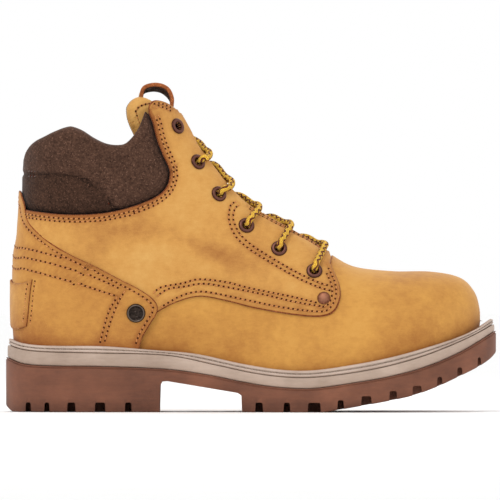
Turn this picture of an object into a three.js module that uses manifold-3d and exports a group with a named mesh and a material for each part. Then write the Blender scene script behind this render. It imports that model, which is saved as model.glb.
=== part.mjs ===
// Steel toe work boot for the right foot, in millimetres, +X to the toe, +Z up, -Y the outer side.
// Every layer of the upper is a shell at its own depth from one base surface, which is drawn as
// rays in side view (from sole or heel up to the instep ridge) and a half-width at each point.
import * as THREE from "three";
import { mergeVertices } from "three/addons/utils/BufferGeometryUtils.js";
import Module from "manifold-3d";

const wasm = await Module();
wasm.setup();

// ---------- driving dimensions ----------
const LENGTH = 304.5; // outsole, heel to toe
const TOE_TIP = 294; // front of the base surface
const HEEL_CORNER = 15; // station where the rays leave the featherline for the back of the heel
const LAST_STATION = 21;
const U_STEP = 1; // grid that all layers share, in stations
const V_GRID = [0, 0.22, 0.44, 0.63, 0.77, 0.87, 0.94, 1]; // and from sole or heel to ridge
const ACROSS = V_GRID.length - 1;
const GAP = 0.3; // between touching pieces
const WIDE = 80; // past either side of the boot
const LACE_HALF_GAP = 14; // eyestay edge from the centre line
const EYELET_FLANGE = 5;
const EYELET_BARREL = 3.2;
const EYELET_BORE = 2.6;
const RIVET_SHANK = 1.8;
const STUD_SHANK = 2.2;
const LACE_RADIUS = 1.75;
const WELD = 500; // points less than 1/500 mm apart are one
const DRILL_REACH = 9; // either side of the base surface
const CORE_DROP = 3; // how far the core goes below the featherline

// Depths from the base surface, inner then outer face
const LAYER = {
  heelPatch: [4.1, 5.4],
  counter: [2.3, 3.8],
  quarter: [0.3, 2.0],
  middle: [-1.7, 0.0],
  lining: [-3.1, -2.1],
  toeCap: [-4.0, -2.1],
};

// ---------- small helpers ----------
const clamp01 = t => Math.min(Math.max(t, 0), 1);
const mix = (a, b, t) => a + (b - a) * t;
const smooth = (a, b, x) => {
  const t = clamp01((x - a) / (b - a));
  return t * t * (3 - 2 * t);
};

// Smooth curve through a few points, level past its ends
function profile(points) {
  const slopes = points.map((p, i) => {
    const before = points[Math.max(i - 1, 0)];
    const after = points[Math.min(i + 1, points.length - 1)];
    return (after[1] - before[1]) / (after[0] - before[0]);
  });
  return x => {
    if (x <= points[0][0]) return points[0][1];
    if (x >= points.at(-1)[0]) return points.at(-1)[1];
    const i = points.findIndex(p => p[0] > x) - 1;
    const [x0, y0] = points[i];
    const [x1, y1] = points[i + 1];
    const h = x1 - x0;
    const t = (x - x0) / h;
    const rise = t * t * (3 - 2 * t);
    return mix(y0, y1, rise) + h * t * (1 - t) * ((1 - t) * slopes[i] - t * slopes[i + 1]);
  };
}

// Quarter round of radius r: 0 at the end, 1 from r inward
function endRound(distance, r, power) {
  const d = 1 - clamp01(distance / r);
  return Math.pow(Math.max(1 - Math.pow(d, power), 0), 1 / power);
}

// Smooth side-view line through its points, as a list of [x, z]
function line(points, steps = 3 * points.length) {
  const curve = new THREE.SplineCurve(points.map(([x, z]) => new THREE.Vector2(x, z)));
  return curve.getPoints(steps).map(p => [p.x, p.y]);
}

// The same line moved sideways, to its left when distance is positive
function beside(points, distance) {
  return points.map((p, i) => {
    const a = points[Math.max(i - 1, 0)];
    const b = points[Math.min(i + 1, points.length - 1)];
    const length = Math.hypot(b[0] - a[0], b[1] - a[1]);
    return [p[0] - (b[1] - a[1]) / length * distance, p[1] + (b[0] - a[0]) / length * distance];
  });
}

// ---------- heights along the sole ----------
const outsoleTop = profile([
  [0, 34], [10, 30], [24, 28.6], [60, 28.1], [100, 26.4], [125, 23], [146, 18.8], [162, 16.1],
  [178, 14.7], [192, 14.8], [216, 18.2], [238, 22.1], [260, 28], [281, 36.7], [296, 45.2], [304, 50.2]]);
const midsoleTop = profile([
  [0, 42], [10, 38.8], [24, 37.3], [60, 36.4], [101, 35], [130, 29.2], [154, 24.1], [175, 21.6],
  [192, 21.7], [216, 24.6], [238, 28.9], [260, 35.2], [280, 43], [294, 49.6], [303, 54.5]]);
const beadTop = profile([
  [0, 46.5], [10, 42.8], [24, 41.2], [60, 40.8], [90, 38.6], [118, 36.1], [146, 30.1], [170, 26.4],
  [190, 26], [216, 29.6], [238, 33.9], [260, 39.8], [281, 46.6], [294, 52.6], [301, 57.5]]);
// Lower edge of the upper, lifted a little where the heel's outer layers reach back over the sole
const feather = x => midsoleTop(x) + 1 + 2.4 * (1 - smooth(6, 26, x));

// Sole edge to base surface: more at the heel, where more layers lie outside it
const upperInset = x => mix(8.6, 6.8, smooth(80, 130, x));

// ---------- widths from the centre line, before the ends are rounded ----------
const LATERAL = -1;
const MEDIAL = 1;
const soleWidth = {
  [LATERAL]: profile([[0, 37], [40, 38.8], [80, 38.6], [120, 38.8], [160, 45.5], [200, 54.5],
    [235, 58], [265, 56], [304, 51]]),
  [MEDIAL]: profile([[0, 37], [40, 38.4], [80, 36.8], [120, 33.4], [160, 37.5], [200, 46.5],
    [235, 50.5], [265, 49], [304, 45]]),
};
const shaftWidth = profile([[40, 30.7], [60, 33], [85, 33.5], [110, 33.5], [130, 35.5], [155, 39],
  [180, 41.5], [215, 43]]);
const centreLine = x => 7 * smooth(195, 300, x);
const heelBack = profile([[36, 8.8], [60, 7.6], [88, 7.6], [106, 8.4], [125, 9.8], [150, 10.6],
  [165, 11.2], [215, 12]]);

function soleHalf(side, x, inset = 0) {
  const ends = endRound(x - inset, 38, 2.2) * endRound(LENGTH - inset - x, 76, 2.2);
  return Math.max((soleWidth[side](x) - inset) * ends, 0);
}

// ---------- base surface of the upper ----------
// Each station is where a ray starts (x on the featherline, or z on the back) and where it ends
const STATIONS = [
  [294, 294.6, 56], [292, 294.2, 64], [286.5, 291, 74.5], [276, 282, 83.2], [257, 264, 86.9],
  [231, 240, 87.2], [206, 216, 90.2], [182, 200.5, 98.5], [158, 184, 109], [128, 166, 119.7],
  [95, 150.5, 129.3], [62, 138.5, 141], [37, 130, 152], [20, 124.5, 159], [11.5, 121, 164],
  [8.75, 118.5, 168], [62, 114.5, 175.5], [95, 109.5, 184], [125, 106.5, 191], [150, 104, 198],
  [172, 102, 205], [215, 99, 222]];
const rayFoot = profile(STATIONS.slice(0, HEEL_CORNER + 1).map((s, i) => [i, s[0]]));
const rayBack = profile([[HEEL_CORNER, feather(8.75)],
  ...STATIONS.slice(HEEL_CORNER + 1).map((s, i) => [HEEL_CORNER + 1 + i, s[0]])]);
const ridgeX = profile(STATIONS.map((s, i) => [i, s[1]]));
const ridgeZ = profile(STATIONS.map((s, i) => [i, s[2]]));

function rayStart(u) {
  if (u < HEEL_CORNER) return [rayFoot(u), feather(rayFoot(u))];
  return [heelBack(rayBack(u)), rayBack(u)];
}

function halfWidth(side, u, t, x, z) {
  const fore = smooth(205, 255, x);
  const planX = mix(x, rayStart(u)[0], fore);
  const low = (soleWidth[side](planX) - upperInset(planX)) * endRound(TOE_TIP - planX, 68, 2.2);
  const rise = smooth(0, 62, z - feather(x)) * (1 - smooth(140, 215, x));
  const shaft = smooth(5, 9, u);
  const crown = Math.pow(1 - Math.pow(t, mix(3.0, 4.3, shaft)), 1 / mix(2.4, 2.9, shaft));
  const bulge = 1 + 0.04 * Math.sin(Math.PI * clamp01(t / 0.6)) * (1 - shaft);
  return mix(low, shaftWidth(z), rise) * crown * bulge * endRound(x - heelBack(z), 40, 2.15);
}

function rayStep(u, v) {
  const up = 1 - Math.pow(1 - v, 1.9);
  const across = (1 - Math.cos(Math.PI * v)) / 2;
  return mix(up, across, smooth(10, 15, u));
}

// Point of the base surface: u runs from the toe to the top, v from the sole or heel to the ridge
function surface(side, u, v) {
  const [x0, z0] = rayStart(u);
  const t = rayStep(u, v);
  const x = mix(x0, ridgeX(u), t);
  const z = mix(z0, ridgeZ(u), t);
  return new THREE.Vector3(x, centreLine(x) + side * halfWidth(side, u, t, x, z), z);
}

const onSeam = (u, v) => v === 1 || u === 0 || (v === 0 && u >= HEEL_CORNER);

function normalAt(side, u, v) {
  const du = 0.02;
  const dv = 0.004;
  const alongU = surface(side, Math.min(u + du, LAST_STATION), v).sub(surface(side, Math.max(u - du, 0), v));
  const alongV = surface(side, u, Math.min(v + dv, 1)).sub(surface(side, u, Math.max(v - dv, 0)));
  const normal = alongU.cross(alongV).multiplyScalar(side);
  if (onSeam(u, v)) normal.y = 0;
  return normal.normalize();
}

// Point at a depth from the base surface; depth is positive outward
const layerPoint = (side, u, v, depth) =>
  surface(side, u, v).addScaledVector(normalAt(side, u, v), depth);

// Where a side-view point lies on the base surface
function locate(x, z) {
  const side = u => {
    const [x0, z0] = rayStart(u);
    return (ridgeX(u) - x0) * (z - z0) - (ridgeZ(u) - z0) * (x - x0);
  };
  let low = 0.001;
  let high = LAST_STATION;
  for (let i = 0; i < 40; i++) {
    const middle = (low + high) / 2;
    if (side(middle) > 0) low = middle;
    else high = middle;
  }
  const u = (low + high) / 2;
  const [x0, z0] = rayStart(u);
  const along = ((x - x0) * (ridgeX(u) - x0) + (z - z0) * (ridgeZ(u) - z0))
    / ((ridgeX(u) - x0) ** 2 + (ridgeZ(u) - z0) ** 2);
  let from = 0;
  let to = 1;
  for (let i = 0; i < 40; i++) {
    const middle = (from + to) / 2;
    if (rayStep(u, middle) < along) from = middle;
    else to = middle;
  }
  return { u, v: (from + to) / 2 };
}

// v at which the surface is a given distance from the centre line, near the ridge
function vAtOffset(side, u, distance) {
  let low = 0.5;
  let high = 1;
  for (let i = 0; i < 40; i++) {
    const middle = (low + high) / 2;
    const p = surface(side, u, middle);
    if (Math.abs(p.y - centreLine(p.x)) > distance) low = middle;
    else high = middle;
  }
  return (low + high) / 2;
}

// ---------- solids ----------
function solidOf(geometry) {
  const bare = geometry.clone();
  bare.deleteAttribute("normal");
  bare.deleteAttribute("uv");
  const merged = mergeVertices(bare, 1e-4);
  const faces = [];
  for (let i = 0; i < merged.index.count; i += 3) {
    const face = [merged.index.getX(i), merged.index.getX(i + 1), merged.index.getX(i + 2)];
    if (new Set(face).size === 3) faces.push(...face);
  }
  return new wasm.Manifold(new wasm.Mesh({
    numProp: 3,
    vertProperties: new Float32Array(merged.attributes.position.array),
    triVerts: new Uint32Array(faces),
  }));
}

function geometryOf(solid) {
  const mesh = solid.getMesh();
  const geometry = new THREE.BufferGeometry();
  geometry.setAttribute("position", new THREE.BufferAttribute(new Float32Array(mesh.vertProperties), 3));
  geometry.setIndex(new THREE.BufferAttribute(new Uint32Array(mesh.triVerts), 1));
  geometry.computeVertexNormals();
  return geometry;
}

// The biggest body of a solid, so that no crumbs are left by a cut
function largest(solid) {
  return solid.decompose().sort((a, b) => b.volume() - a.volume())[0];
}

// Closed mesh from two matching faces given as points and shared triangles, with walls at the rims
function thicken(outer, inner, triangles) {
  const n = outer.length;
  const faces = [];
  const edges = new Map();
  for (const [a, b, c] of triangles) {
    faces.push(a, b, c, n + a, n + c, n + b);
    for (const [p, q] of [[a, b], [b, c], [c, a]]) {
      if (edges.has(`${q}_${p}`)) edges.delete(`${q}_${p}`);
      else edges.set(`${p}_${q}`, [p, q]);
    }
  }
  for (const [p, q] of edges.values()) faces.push(q, p, n + p, q, n + p, n + q);
  const geometry = new THREE.BufferGeometry();
  const all = [...outer, ...inner].flatMap(p => [p.x, p.y, p.z]);
  geometry.setAttribute("position", new THREE.Float32BufferAttribute(all, 3));
  geometry.setIndex(faces);
  return geometry;
}

// Shell of the base surface on both sides, between two depths (numbers or functions of x and z)
function shell(inner, outer, from, to) {
  const first = Math.floor(from / U_STEP);
  const count = Math.ceil(to / U_STEP) - first;
  const depth = (d, p) => (typeof d === "function" ? d(p.x, p.z) : d);
  const index = new Map();
  const outerPoints = [];
  const innerPoints = [];
  const triangles = [];
  const vertex = (side, i, j) => {
    const u = (first + i) * U_STEP;
    const v = V_GRID[j];
    const base = surface(side, u, v);
    const key = base.toArray().map(c => Math.round(c * WELD)).join();
    if (!index.has(key)) {
      const normal = normalAt(side, u, v);
      index.set(key, outerPoints.length);
      outerPoints.push(base.clone().addScaledVector(normal, depth(outer, base)));
      innerPoints.push(base.clone().addScaledVector(normal, depth(inner, base)));
    }
    return index.get(key);
  };
  for (const side of [LATERAL, MEDIAL]) {
    for (let i = 0; i < count; i++) {
      for (let j = 0; j < ACROSS; j++) {
        const [a, b, c, d] = [[i, j], [i + 1, j], [i + 1, j + 1], [i, j + 1]].map(
          corner => vertex(side, ...corner));
        for (const face of [[a, c, b], [a, d, c]]) {
          if (side === MEDIAL) face.reverse();
          if (new Set(face).size === 3) triangles.push(face);
        }
      }
    }
  }
  return solidOf(thicken(outerPoints, innerPoints, triangles));
}

// Straight prism across the boot with a side-view outline
function prism(outline, y0 = -WIDE, y1 = WIDE) {
  const shape = new THREE.Shape(outline.map(([x, z]) => new THREE.Vector2(x, z)));
  const geometry = new THREE.ExtrudeGeometry(shape, { depth: y1 - y0, bevelEnabled: false });
  geometry.rotateX(Math.PI / 2);
  geometry.translate(0, y1, 0);
  return solidOf(geometry);
}

const half = side => (side === LATERAL ? [-WIDE, -GAP / 2] : [GAP / 2, WIDE]);

// Slab that follows the sole: an outline inset from the sole edge, between two heights
function slab(inset, bottom, top, x0, x1, columns = 30) {
  const rows = 3;
  const lower = [];
  const upper = [];
  const triangles = [];
  for (let i = 0; i <= columns; i++) {
    const x = mix(x0, x1, (1 - Math.cos(Math.PI * i / columns)) / 2);
    const inside = Math.min(Math.max(x, inset + 0.25), LENGTH - inset - 0.25);
    for (let j = 0; j <= rows; j++) {
      const y = mix(-soleHalf(LATERAL, inside, inset), soleHalf(MEDIAL, inside, inset), j / rows);
      lower.push(new THREE.Vector3(x, y + centreLine(x), bottom(x)));
      upper.push(new THREE.Vector3(x, y + centreLine(x), top(x)));
    }
  }
  for (let i = 0; i < columns; i++) {
    for (let j = 0; j < rows; j++) {
      const a = i * (rows + 1) + j;
      const b = a + rows + 1;
      triangles.push([a, b, b + 1], [a, b + 1, a + 1]);
    }
  }
  return solidOf(thicken(upper, lower, triangles));
}

// Everything inside the base surface, grown or shrunk by a depth, and a little below the featherline
function core(depth) {
  const count = LAST_STATION / U_STEP;
  const index = new Map();
  const points = [];
  const vertex = (side, u, v, drop = 0) => {
    const base = surface(side, u, v);
    const key = [base.x, base.y, base.z - drop].map(c => Math.round(c * WELD)).join();
    if (!index.has(key)) {
      index.set(key, points.length);
      const point = base.clone().addScaledVector(normalAt(side, u, v), depth(base.x));
      points.push(point.setZ(point.z - drop));
    }
    return index.get(key);
  };
  const rings = [];
  for (let i = 0; i <= count; i++) {
    const u = U_STEP * i;
    const drop = u > HEEL_CORNER ? 0 : CORE_DROP;
    const ring = [vertex(LATERAL, u, 0, drop)];
    for (let j = 0; j <= ACROSS; j++) ring.push(vertex(LATERAL, u, V_GRID[j]));
    for (let j = ACROSS - 1; j >= 0; j--) ring.push(vertex(MEDIAL, u, V_GRID[j]));
    rings.push([...ring, vertex(MEDIAL, u, 0, drop)]);
  }
  const faces = [];
  const n = 2 * ACROSS + 3;
  for (let i = 0; i < count; i++) {
    for (let j = 0; j < n; j++) {
      const k = (j + 1) % n;
      const [a, b, c, d] = [rings[i][j], rings[i][k], rings[i + 1][k], rings[i + 1][j]];
      const pair = j <= ACROSS ? [[a, b, c], [a, c, d]] : [[a, b, d], [b, c, d]];
      for (const face of pair) {
        if (new Set(face).size === 3) faces.push(...face);
      }
    }
  }
  const last = rings[count];
  for (let j = 1; j < n - 1; j++) {
    const face = [last[0], last[j], last[j + 1]];
    if (new Set(face).size === 3) faces.push(...face);
  }
  const geometry = new THREE.BufferGeometry();
  geometry.setAttribute("position", new THREE.Float32BufferAttribute(points.flatMap(p => p.toArray()), 3));
  geometry.setIndex(faces);
  return solidOf(geometry);
}

// ---------- side-view lines of the panels, back to front ----------
const collarEdge = line([[9, 126], [21.1, 123.9], [35.9, 122.4], [51.7, 122.4], [65.6, 123.9],
  [80.4, 127.8], [93.3, 133.3], [99.8, 139.5], [101.8, 146.5], [101, 151.5], [97.3, 159.6],
  [93.8, 168.5], [91.3, 178.4], [88.4, 185.3]], 14);
const collarTop = line([[7, 158], [14.9, 166.8], [22.4, 170.5], [29.8, 173.6], [37.3, 176.1],
  [41.5, 176], [48.5, 173.6], [55.9, 168.7], [63.4, 165.5], [70.8, 164.9], [76, 166.5],
  [82.4, 174.4], [88.4, 185.3]], 13);
const collarSeam = line([[-5, 148], [11, 147.7], [26, 147.2], [40.8, 145.2], [49.8, 141.8],
  [55.7, 136.8], [61.6, 129.8], [67.5, 120], [70, 112]], 8);
const eyestayTop = line([[88.4, 185.3], [88.9, 190], [91.5, 192.7], [95, 192.7], [99.3, 191.3],
  [104, 188.5], [112, 182]], 7);
const quarterEdge = line([[93.8, 61.5], [105.2, 67.5], [120.1, 71.4], [136.6, 68.8], [150.9, 65.2],
  [165.1, 62.4], [179.4, 60.3], [194, 59.4], [203, 62.4], [207.3, 70.9], [207, 79.5], [203.6, 88.1],
  [201.5, 92.9], [201, 102]], 16);
const counterEdge = line([[0, 138.5], [8.7, 136.8], [11.3, 127.9], [13.3, 119], [19.1, 112],
  [29, 104.1], [40.8, 97.2], [55.7, 90.2], [70.6, 82.3], [82.4, 76.3], [90.4, 70.9], [93.9, 66.5],
  [94, 61.5], [89.4, 53.6], [85.4, 46.7], [83.4, 40.7], [82, 25]], 17);
const vampEdge = line([[70, 20], [74, 50], [84, 65], [100, 76.5], [120, 81], [150, 75.5],
  [172, 69], [186, 70], [196, 79], [201, 89], [204, 98], [210, 125]], 11);
const reinforcementEdge = line([[95.5, 190], [98.5, 178], [104, 160], [109, 149], [120, 141],
  [134, 133], [138.4, 123], [138.8, 116], [143.7, 107.3], [150.9, 100.9], [160.9, 94.5],
  [172.3, 87.7], [184, 81], [196, 76]], 11);
const liningJoin = line([[150, 15], [153, 56], [166, 68], [186, 74], [198, 84], [203, 96], [208, 125]], 6);

const REAR = -20;
const region = {
  quarter: [[REAR, 15], [78, 15], [80, 45], [90, 60], ...quarterEdge, [215, 130], [150, 215],
    [112, 215], ...[...eyestayTop].reverse(), ...[...collarEdge].reverse(), [REAR, 126]],
  counter: [[REAR, 139], ...counterEdge, [82, 15], [REAR, 15]],
  vamp: [...vampEdge, [320, 125], [320, 15]],
  reinforcement: [...reinforcementEdge, [215, 90], [205, 130], [150, 190], [112, 182], [104, 187.5]],
  stiffener: [[REAR, 15], [64, 15], [66, 60], ...line([[60, 82], [46, 92], [30, 99], [10, 104]], 8),
    [REAR, 104]],
  heelPatch: [[REAR, 53], [12.4, 53], [13.4, 61], [14.8, 75], [16, 82], [REAR, 82]],
  collarAll: [[REAR, 120], ...beside(collarEdge, -5).slice(0, -1), ...[...collarTop].reverse(),
    [REAR, 158]],
  collarFace: [[REAR, 127], ...beside(collarEdge, 1).slice(0, -2),
    ...[...collarTop].reverse().slice(1), [REAR, 158]],
  belowSeam: [...collarSeam, [-30, 112], [-30, 148]],
  vampLining: [...liningJoin, [320, 125], [320, 15]],
  cap: [[236, 15], [238, 60], [232, 100], [320, 100], [320, 15]],
  capStrip: [[229.5, 15], [231.5, 60], [225.5, 100], [231.6, 100], [237.6, 60], [235.6, 15]],
  quarterLining: [[REAR, 15], ...beside(liningJoin, 0.4), [205, 130], [150, 215], [112, 215],
    ...[...eyestayTop].reverse(), ...beside([...collarEdge].reverse(), 0.4), [REAR, 125.4]],
};

// ---------- places of the fastenings, as [x, z] in side view ----------
const EYELETS = [[191.4, 87.8], [169.6, 101.6], [149.5, 115.8], [132.6, 135.3], [119.7, 155.1],
  [107.2, 177.2]];
const RIVET = [197.0, 70.9];
const STUD = [81.0, 61.1];

// Frame standing on a layer: its Y axis is the outward normal
function standing(side, [x, z], depth) {
  const { u, v } = locate(x, z);
  const normal = normalAt(side, u, v);
  const turn = new THREE.Quaternion().setFromUnitVectors(new THREE.Vector3(0, 1, 0), normal);
  return new THREE.Matrix4().compose(layerPoint(side, u, v, depth), turn, new THREE.Vector3(1, 1, 1));
}

function turned(points, segments, matrix) {
  const geometry = new THREE.LatheGeometry(points.map(([r, h]) => new THREE.Vector2(r, h)), segments);
  return geometry.applyMatrix4(matrix);
}

// Drill through the layers at one fastening
function drill(side, place, radius) {
  const bar = [[0, -DRILL_REACH], [radius, -DRILL_REACH], [radius, DRILL_REACH], [0, DRILL_REACH]];
  return solidOf(turned(bar, 8, standing(side, place, 0)));
}

const drills = { [LATERAL]: [], [MEDIAL]: [] };
for (const side of [LATERAL, MEDIAL]) {
  for (const place of EYELETS) drills[side].push(drill(side, place, EYELET_BARREL + GAP));
  drills[side].push(drill(side, RIVET, RIVET_SHANK + GAP));
}
drills[LATERAL].push(drill(LATERAL, STUD, STUD_SHANK + GAP));

const drilled = (solid, side) => drills[side].reduce((whole, hole) => whole.subtract(hole), solid);

const above = (height, gap) => x => height(x) + gap;

// ---------- the object ----------
const boot = new THREE.Group();

const LOOKS = {
  nubuck: { color: 0xc89452, roughness: 0.85 },
  darkNubuck: { color: 0xb27b42, roughness: 0.85 },
  suede: { color: 0x46302a, roughness: 0.95 },
  lining: { color: 0x54463c, roughness: 0.95 },
  foam: { color: 0xb9ae98, roughness: 1 },
  board: { color: 0xa58c68, roughness: 0.9 },
  rubber: { color: 0x6e4838, roughness: 0.75 },
  taupe: { color: 0x9a8676, roughness: 0.7 },
  steel: { color: 0x9da1a4, roughness: 0.35, metalness: 1 },
  copper: { color: 0x4d3230, roughness: 0.4, metalness: 1 },
  bronze: { color: 0x9a6248, roughness: 0.4, metalness: 1 },
  gunmetal: { color: 0x3a3836, roughness: 0.4, metalness: 1 },
  lace: { color: 0xb08a3c, roughness: 0.8 },
  plastic: { color: 0x4a3424, roughness: 0.4 },
};

function addMesh(name, geometry, look) {
  const mesh = new THREE.Mesh(geometry, new THREE.MeshStandardMaterial(LOOKS[look]));
  mesh.name = name;
  boot.add(mesh);
}

const add = (name, solid, look) => addMesh(name, geometryOf(largest(solid)), look);

// Eyestay edges keep this strip of the ridge clear, down to the throat
const laceGap = prism([[200.4, 88], [183, 95], [160, 107], [140, 121], [120, 144], [96, 172],
  [90, 230], [240, 230], [240, 104], [206, 96]], -LACE_HALF_GAP, LACE_HALF_GAP);

function upperLeather() {
  const vamp = prism(region.vamp);
  const throat = shell(...LAYER.middle, 0, 12).intersect(vamp);
  add("vamp", drilled(drilled(throat, LATERAL), MEDIAL), "nubuck");
  for (const [side, label] of [[LATERAL, "lateral"], [MEDIAL, "medial"]]) {
    const quarter = shell(...LAYER.quarter, 5, LAST_STATION - 0.5)
      .intersect(prism(region.quarter, ...half(side))).subtract(laceGap);
    add(`quarter_${label}`, drilled(quarter, side), "nubuck");
    const counter = shell(...LAYER.counter, 9, 19).intersect(prism(region.counter, ...half(side)));
    add(`counter_${label}`, drilled(counter, side), "darkNubuck");
    const stay = shell(...LAYER.middle, 6, LAST_STATION - 1)
      .intersect(prism(region.reinforcement, ...half(side)))
      .subtract(prism([...beside(vampEdge, 0.4), [320, 125], [320, 15]])).subtract(laceGap);
    add(`eyestay_reinforcement_${label}`, drilled(stay, side), "darkNubuck");
  }
  add("heel_patch", shell(...LAYER.heelPatch, 15, 18.5).intersect(prism(region.heelPatch)), "nubuck");
  const stiffener = shell(...LAYER.middle, 10, 19).intersect(prism(region.stiffener));
  add("heel_stiffener", drilled(stiffener, LATERAL), "board");
}

// Depth of the collar's inner face: padded at the back, thin by the eyestays
const collarDepth = x => mix(-10.4, -5.4, smooth(56, 80, x));

function collar() {
  const below = prism(region.belowSeam);
  const face = shell(-1.4, 0, 12, LAST_STATION).intersect(prism(region.collarAll));
  add("collar_rear", face.intersect(below), "suede");
  const clear = prism(region.belowSeam.map(([x, z]) => [x + GAP, z + GAP]));
  for (const [side, label] of [[LATERAL, "lateral"], [MEDIAL, "medial"]]) {
    add(`collar_${label}`, face.subtract(clear).intersect(prism(region.collarAll, ...half(side))), "suede");
  }
  const inside = prism(region.collarFace);
  const foam = shell(x => collarDepth(x) + 1.4, -1.8, 12, LAST_STATION);
  add("collar_foam", foam.intersect(inside), "foam");
  const lining = shell(collarDepth, x => collarDepth(x) + 1.1, 12, LAST_STATION);
  add("collar_lining", lining.intersect(inside), "lining");
}

// The lining drops inside the steel cap at the toe
const liningDrop = x => -2.3 * smooth(192, 216, x);

function linings() {
  const vampLining = shell(x => LAYER.lining[0] + liningDrop(x),
    x => LAYER.lining[1] + liningDrop(x), 0, 10);
  const flangeRoom = slab(4, above(midsoleTop, -2), above(midsoleTop, 3.2), 232, 300, 16);
  add("vamp_lining", vampLining.intersect(prism(region.vampLining)).subtract(flangeRoom), "lining");
  for (const [side, label] of [[LATERAL, "lateral"], [MEDIAL, "medial"]]) {
    const lining = shell(...LAYER.lining, 6, LAST_STATION - 0.5)
      .intersect(prism(region.quarterLining, ...half(side))).subtract(laceGap);
    add(`quarter_lining_${label}`, drilled(lining, side), "lining");
  }
}

function toeCap() {
  const dome = shell(...LAYER.toeCap, 0, 7).intersect(prism(region.cap));
  const flange = slab(7, above(midsoleTop, 1.2), above(midsoleTop, 2.9), 230, 296, 16)
    .intersect(core(() => -3)).subtract(core(() => -11)).intersect(prism(region.cap));
  add("toe_cap", dome.add(flange), "steel");
  add("toe_cap_strip", shell(...LAYER.toeCap, 3, 8).intersect(prism(region.capStrip)), "lining");
}

// ---------- tongue ----------
const tongueEdge = line([[208, 78], [202, 79], [186, 81], [164, 89], [142, 99], [118, 118],
  [96, 143], [82, 165], [75.4, 180], [75.6, 188.7], [78, 193], [82, 195], [86.5, 195.3], [90, 193.4]], 14);
const tongueRegion = [...tongueEdge, [112, 193.4], [150, 160], [208, 115]];
// Depth of the tongue's outer face: under the eyestays, proud above them, deeper by the collar
function tongueDepth(x, z) {
  const underEyestay = mix(-8.8, -5.9, smooth(182, 190, z));
  const byCollar = mix(-13, underEyestay, smooth(78, 102, x));
  return mix(byCollar, -6, smooth(198, 206, x));
}

// How far the tongue's padding reaches in, thickest at the top
const padding = z => mix(7.4, 12.5, smooth(165, 190, z));

function tongue() {
  const outline = prism(tongueRegion);
  const layer = (inner, outer) => shell((x, z) => tongueDepth(x, z) + inner(z),
    (x, z) => tongueDepth(x, z) + outer(z), 5, LAST_STATION).intersect(outline);
  add("tongue", layer(() => -1.6, () => 0), "nubuck");
  add("tongue_pad", layer(z => -padding(z), () => -1.9), "foam");
  add("tongue_lining", layer(z => -padding(z) - 1.4, z => -padding(z) - 0.3), "lining");
}

function pullLoop() {
  const arch = line([[102.9, 189.5], [102.4, 194.1], [100.4, 198.5], [96.8, 201.3], [91.4, 202.6],
    [86.4, 201.4], [83.2, 198.3], [81.4, 193], [80.2, 188]], 15);
  const outline = [...beside(arch, -1), ...beside(arch, 1).reverse()];
  addMesh("pull_loop", geometryOf(prism(outline, -10, 10)), "darkNubuck");
}

// ---------- hardware ----------
function hardware() {
  const tube = (bore, barrel, flange, top) => [[bore, -3.3], [barrel, -3.3], [barrel, 2.3],
    [flange, 2.3], [flange - 1.2, top], [bore, top - 0.2], [bore, -3.3]];
  for (const [side, label] of [[LATERAL, "lateral"], [MEDIAL, "medial"]]) {
    EYELETS.forEach((place, i) => {
      const points = tube(EYELET_BORE, EYELET_BARREL, EYELET_FLANGE, 3.4);
      addMesh(`eyelet_${label}_${i + 1}`, turned(points, 10, standing(side, place, 0)), "copper");
    });
    const rivet = [[0, -1.7], [RIVET_SHANK, -1.7], [RIVET_SHANK, 2.3], [3.9, 2.3], [3.7, 3], [2.6, 3.6],
      [0, 3.8]];
    addMesh(`rivet_${label}`, turned(rivet, 12, standing(side, RIVET, 0)), "bronze");
  }
  const stud = [[0, -1.2], [STUD_SHANK, -1.2], [STUD_SHANK, 4.5], [5.6, 4.5], [5.6, 5.3], [4.9, 6],
    [4.2, 5.9], [4, 5.4], [0, 5.6]];
  addMesh("stud", turned(stud, 16, standing(LATERAL, STUD, 0)), "gunmetal");
}

// ---------- lace ----------
const INSIDE = -5.4; // depth of its centre line between eyestay and tongue
const UPPER_STRAND = 3.4; // where two strands cross over the tongue
const LOWER_STRAND = -0.6;

// Point beside an eyelet: some way towards the ridge, at a depth
function byEyelet(side, row, towardsRidge, depth) {
  const { u, v } = locate(...EYELETS[row]);
  const speed = surface(side, u, v + 0.02).distanceTo(surface(side, u, v - 0.02)) / 0.04;
  return layerPoint(side, u, v + towardsRidge / speed, depth);
}

// One strand: from inside an eyelet, out, over the ridge, in under the other eyestay and up to
// the next eyelet, or to the mouth of the tail after the last one
function crossing(side, row) {
  const here = locate(...EYELETS[row]);
  const there = locate(...EYELETS[row + 1]);
  const centre = side === LATERAL ? UPPER_STRAND : LOWER_STRAND;
  const at = (which, step, distance, depth) => {
    const u = mix(here.u, there.u, step);
    return layerPoint(which, u, vAtOffset(which, u, distance), depth);
  };
  return [
    byEyelet(side, row, 0, -2.4),
    byEyelet(side, row, 0, 2.2),
    byEyelet(side, row, 0.2, 4.2),
    byEyelet(side, row, 1.8, 5.6),
    byEyelet(side, row, 4.6, 5.7),
    at(side, 0.14, 18, 4.8),
    at(side, 0.24, 13, 5),
    at(side, 0.36, 7.5, mix(4.8, centre, 0.6)),
    at(side, 0.5, 0.01, centre),
    at(-side, 0.66, 7.5, mix(centre, INSIDE, 0.5)),
    at(-side, 0.8, 13, INSIDE),
    byEyelet(-side, row + 1, 4.4, INSIDE),
    ...(row < 4 ? [byEyelet(-side, row + 1, 1.5, INSIDE + 0.1), byEyelet(-side, row + 1, 0.2, -4)] : []),
  ];
}

// The end of the lace is tucked between tongue and quarter: down the boot and back up
const TAIL_DEPTH = -6;
const TAIL = [[106, 167], [109.5, 156], [115.5, 145], [124, 131], [134, 118.5], [144.5, 108.5],
  [153, 101], [155.5, 96.5], [152, 93.5], [145, 97], [134.5, 106.5], [123.5, 119], [114, 133],
  [106.5, 147]];

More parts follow.
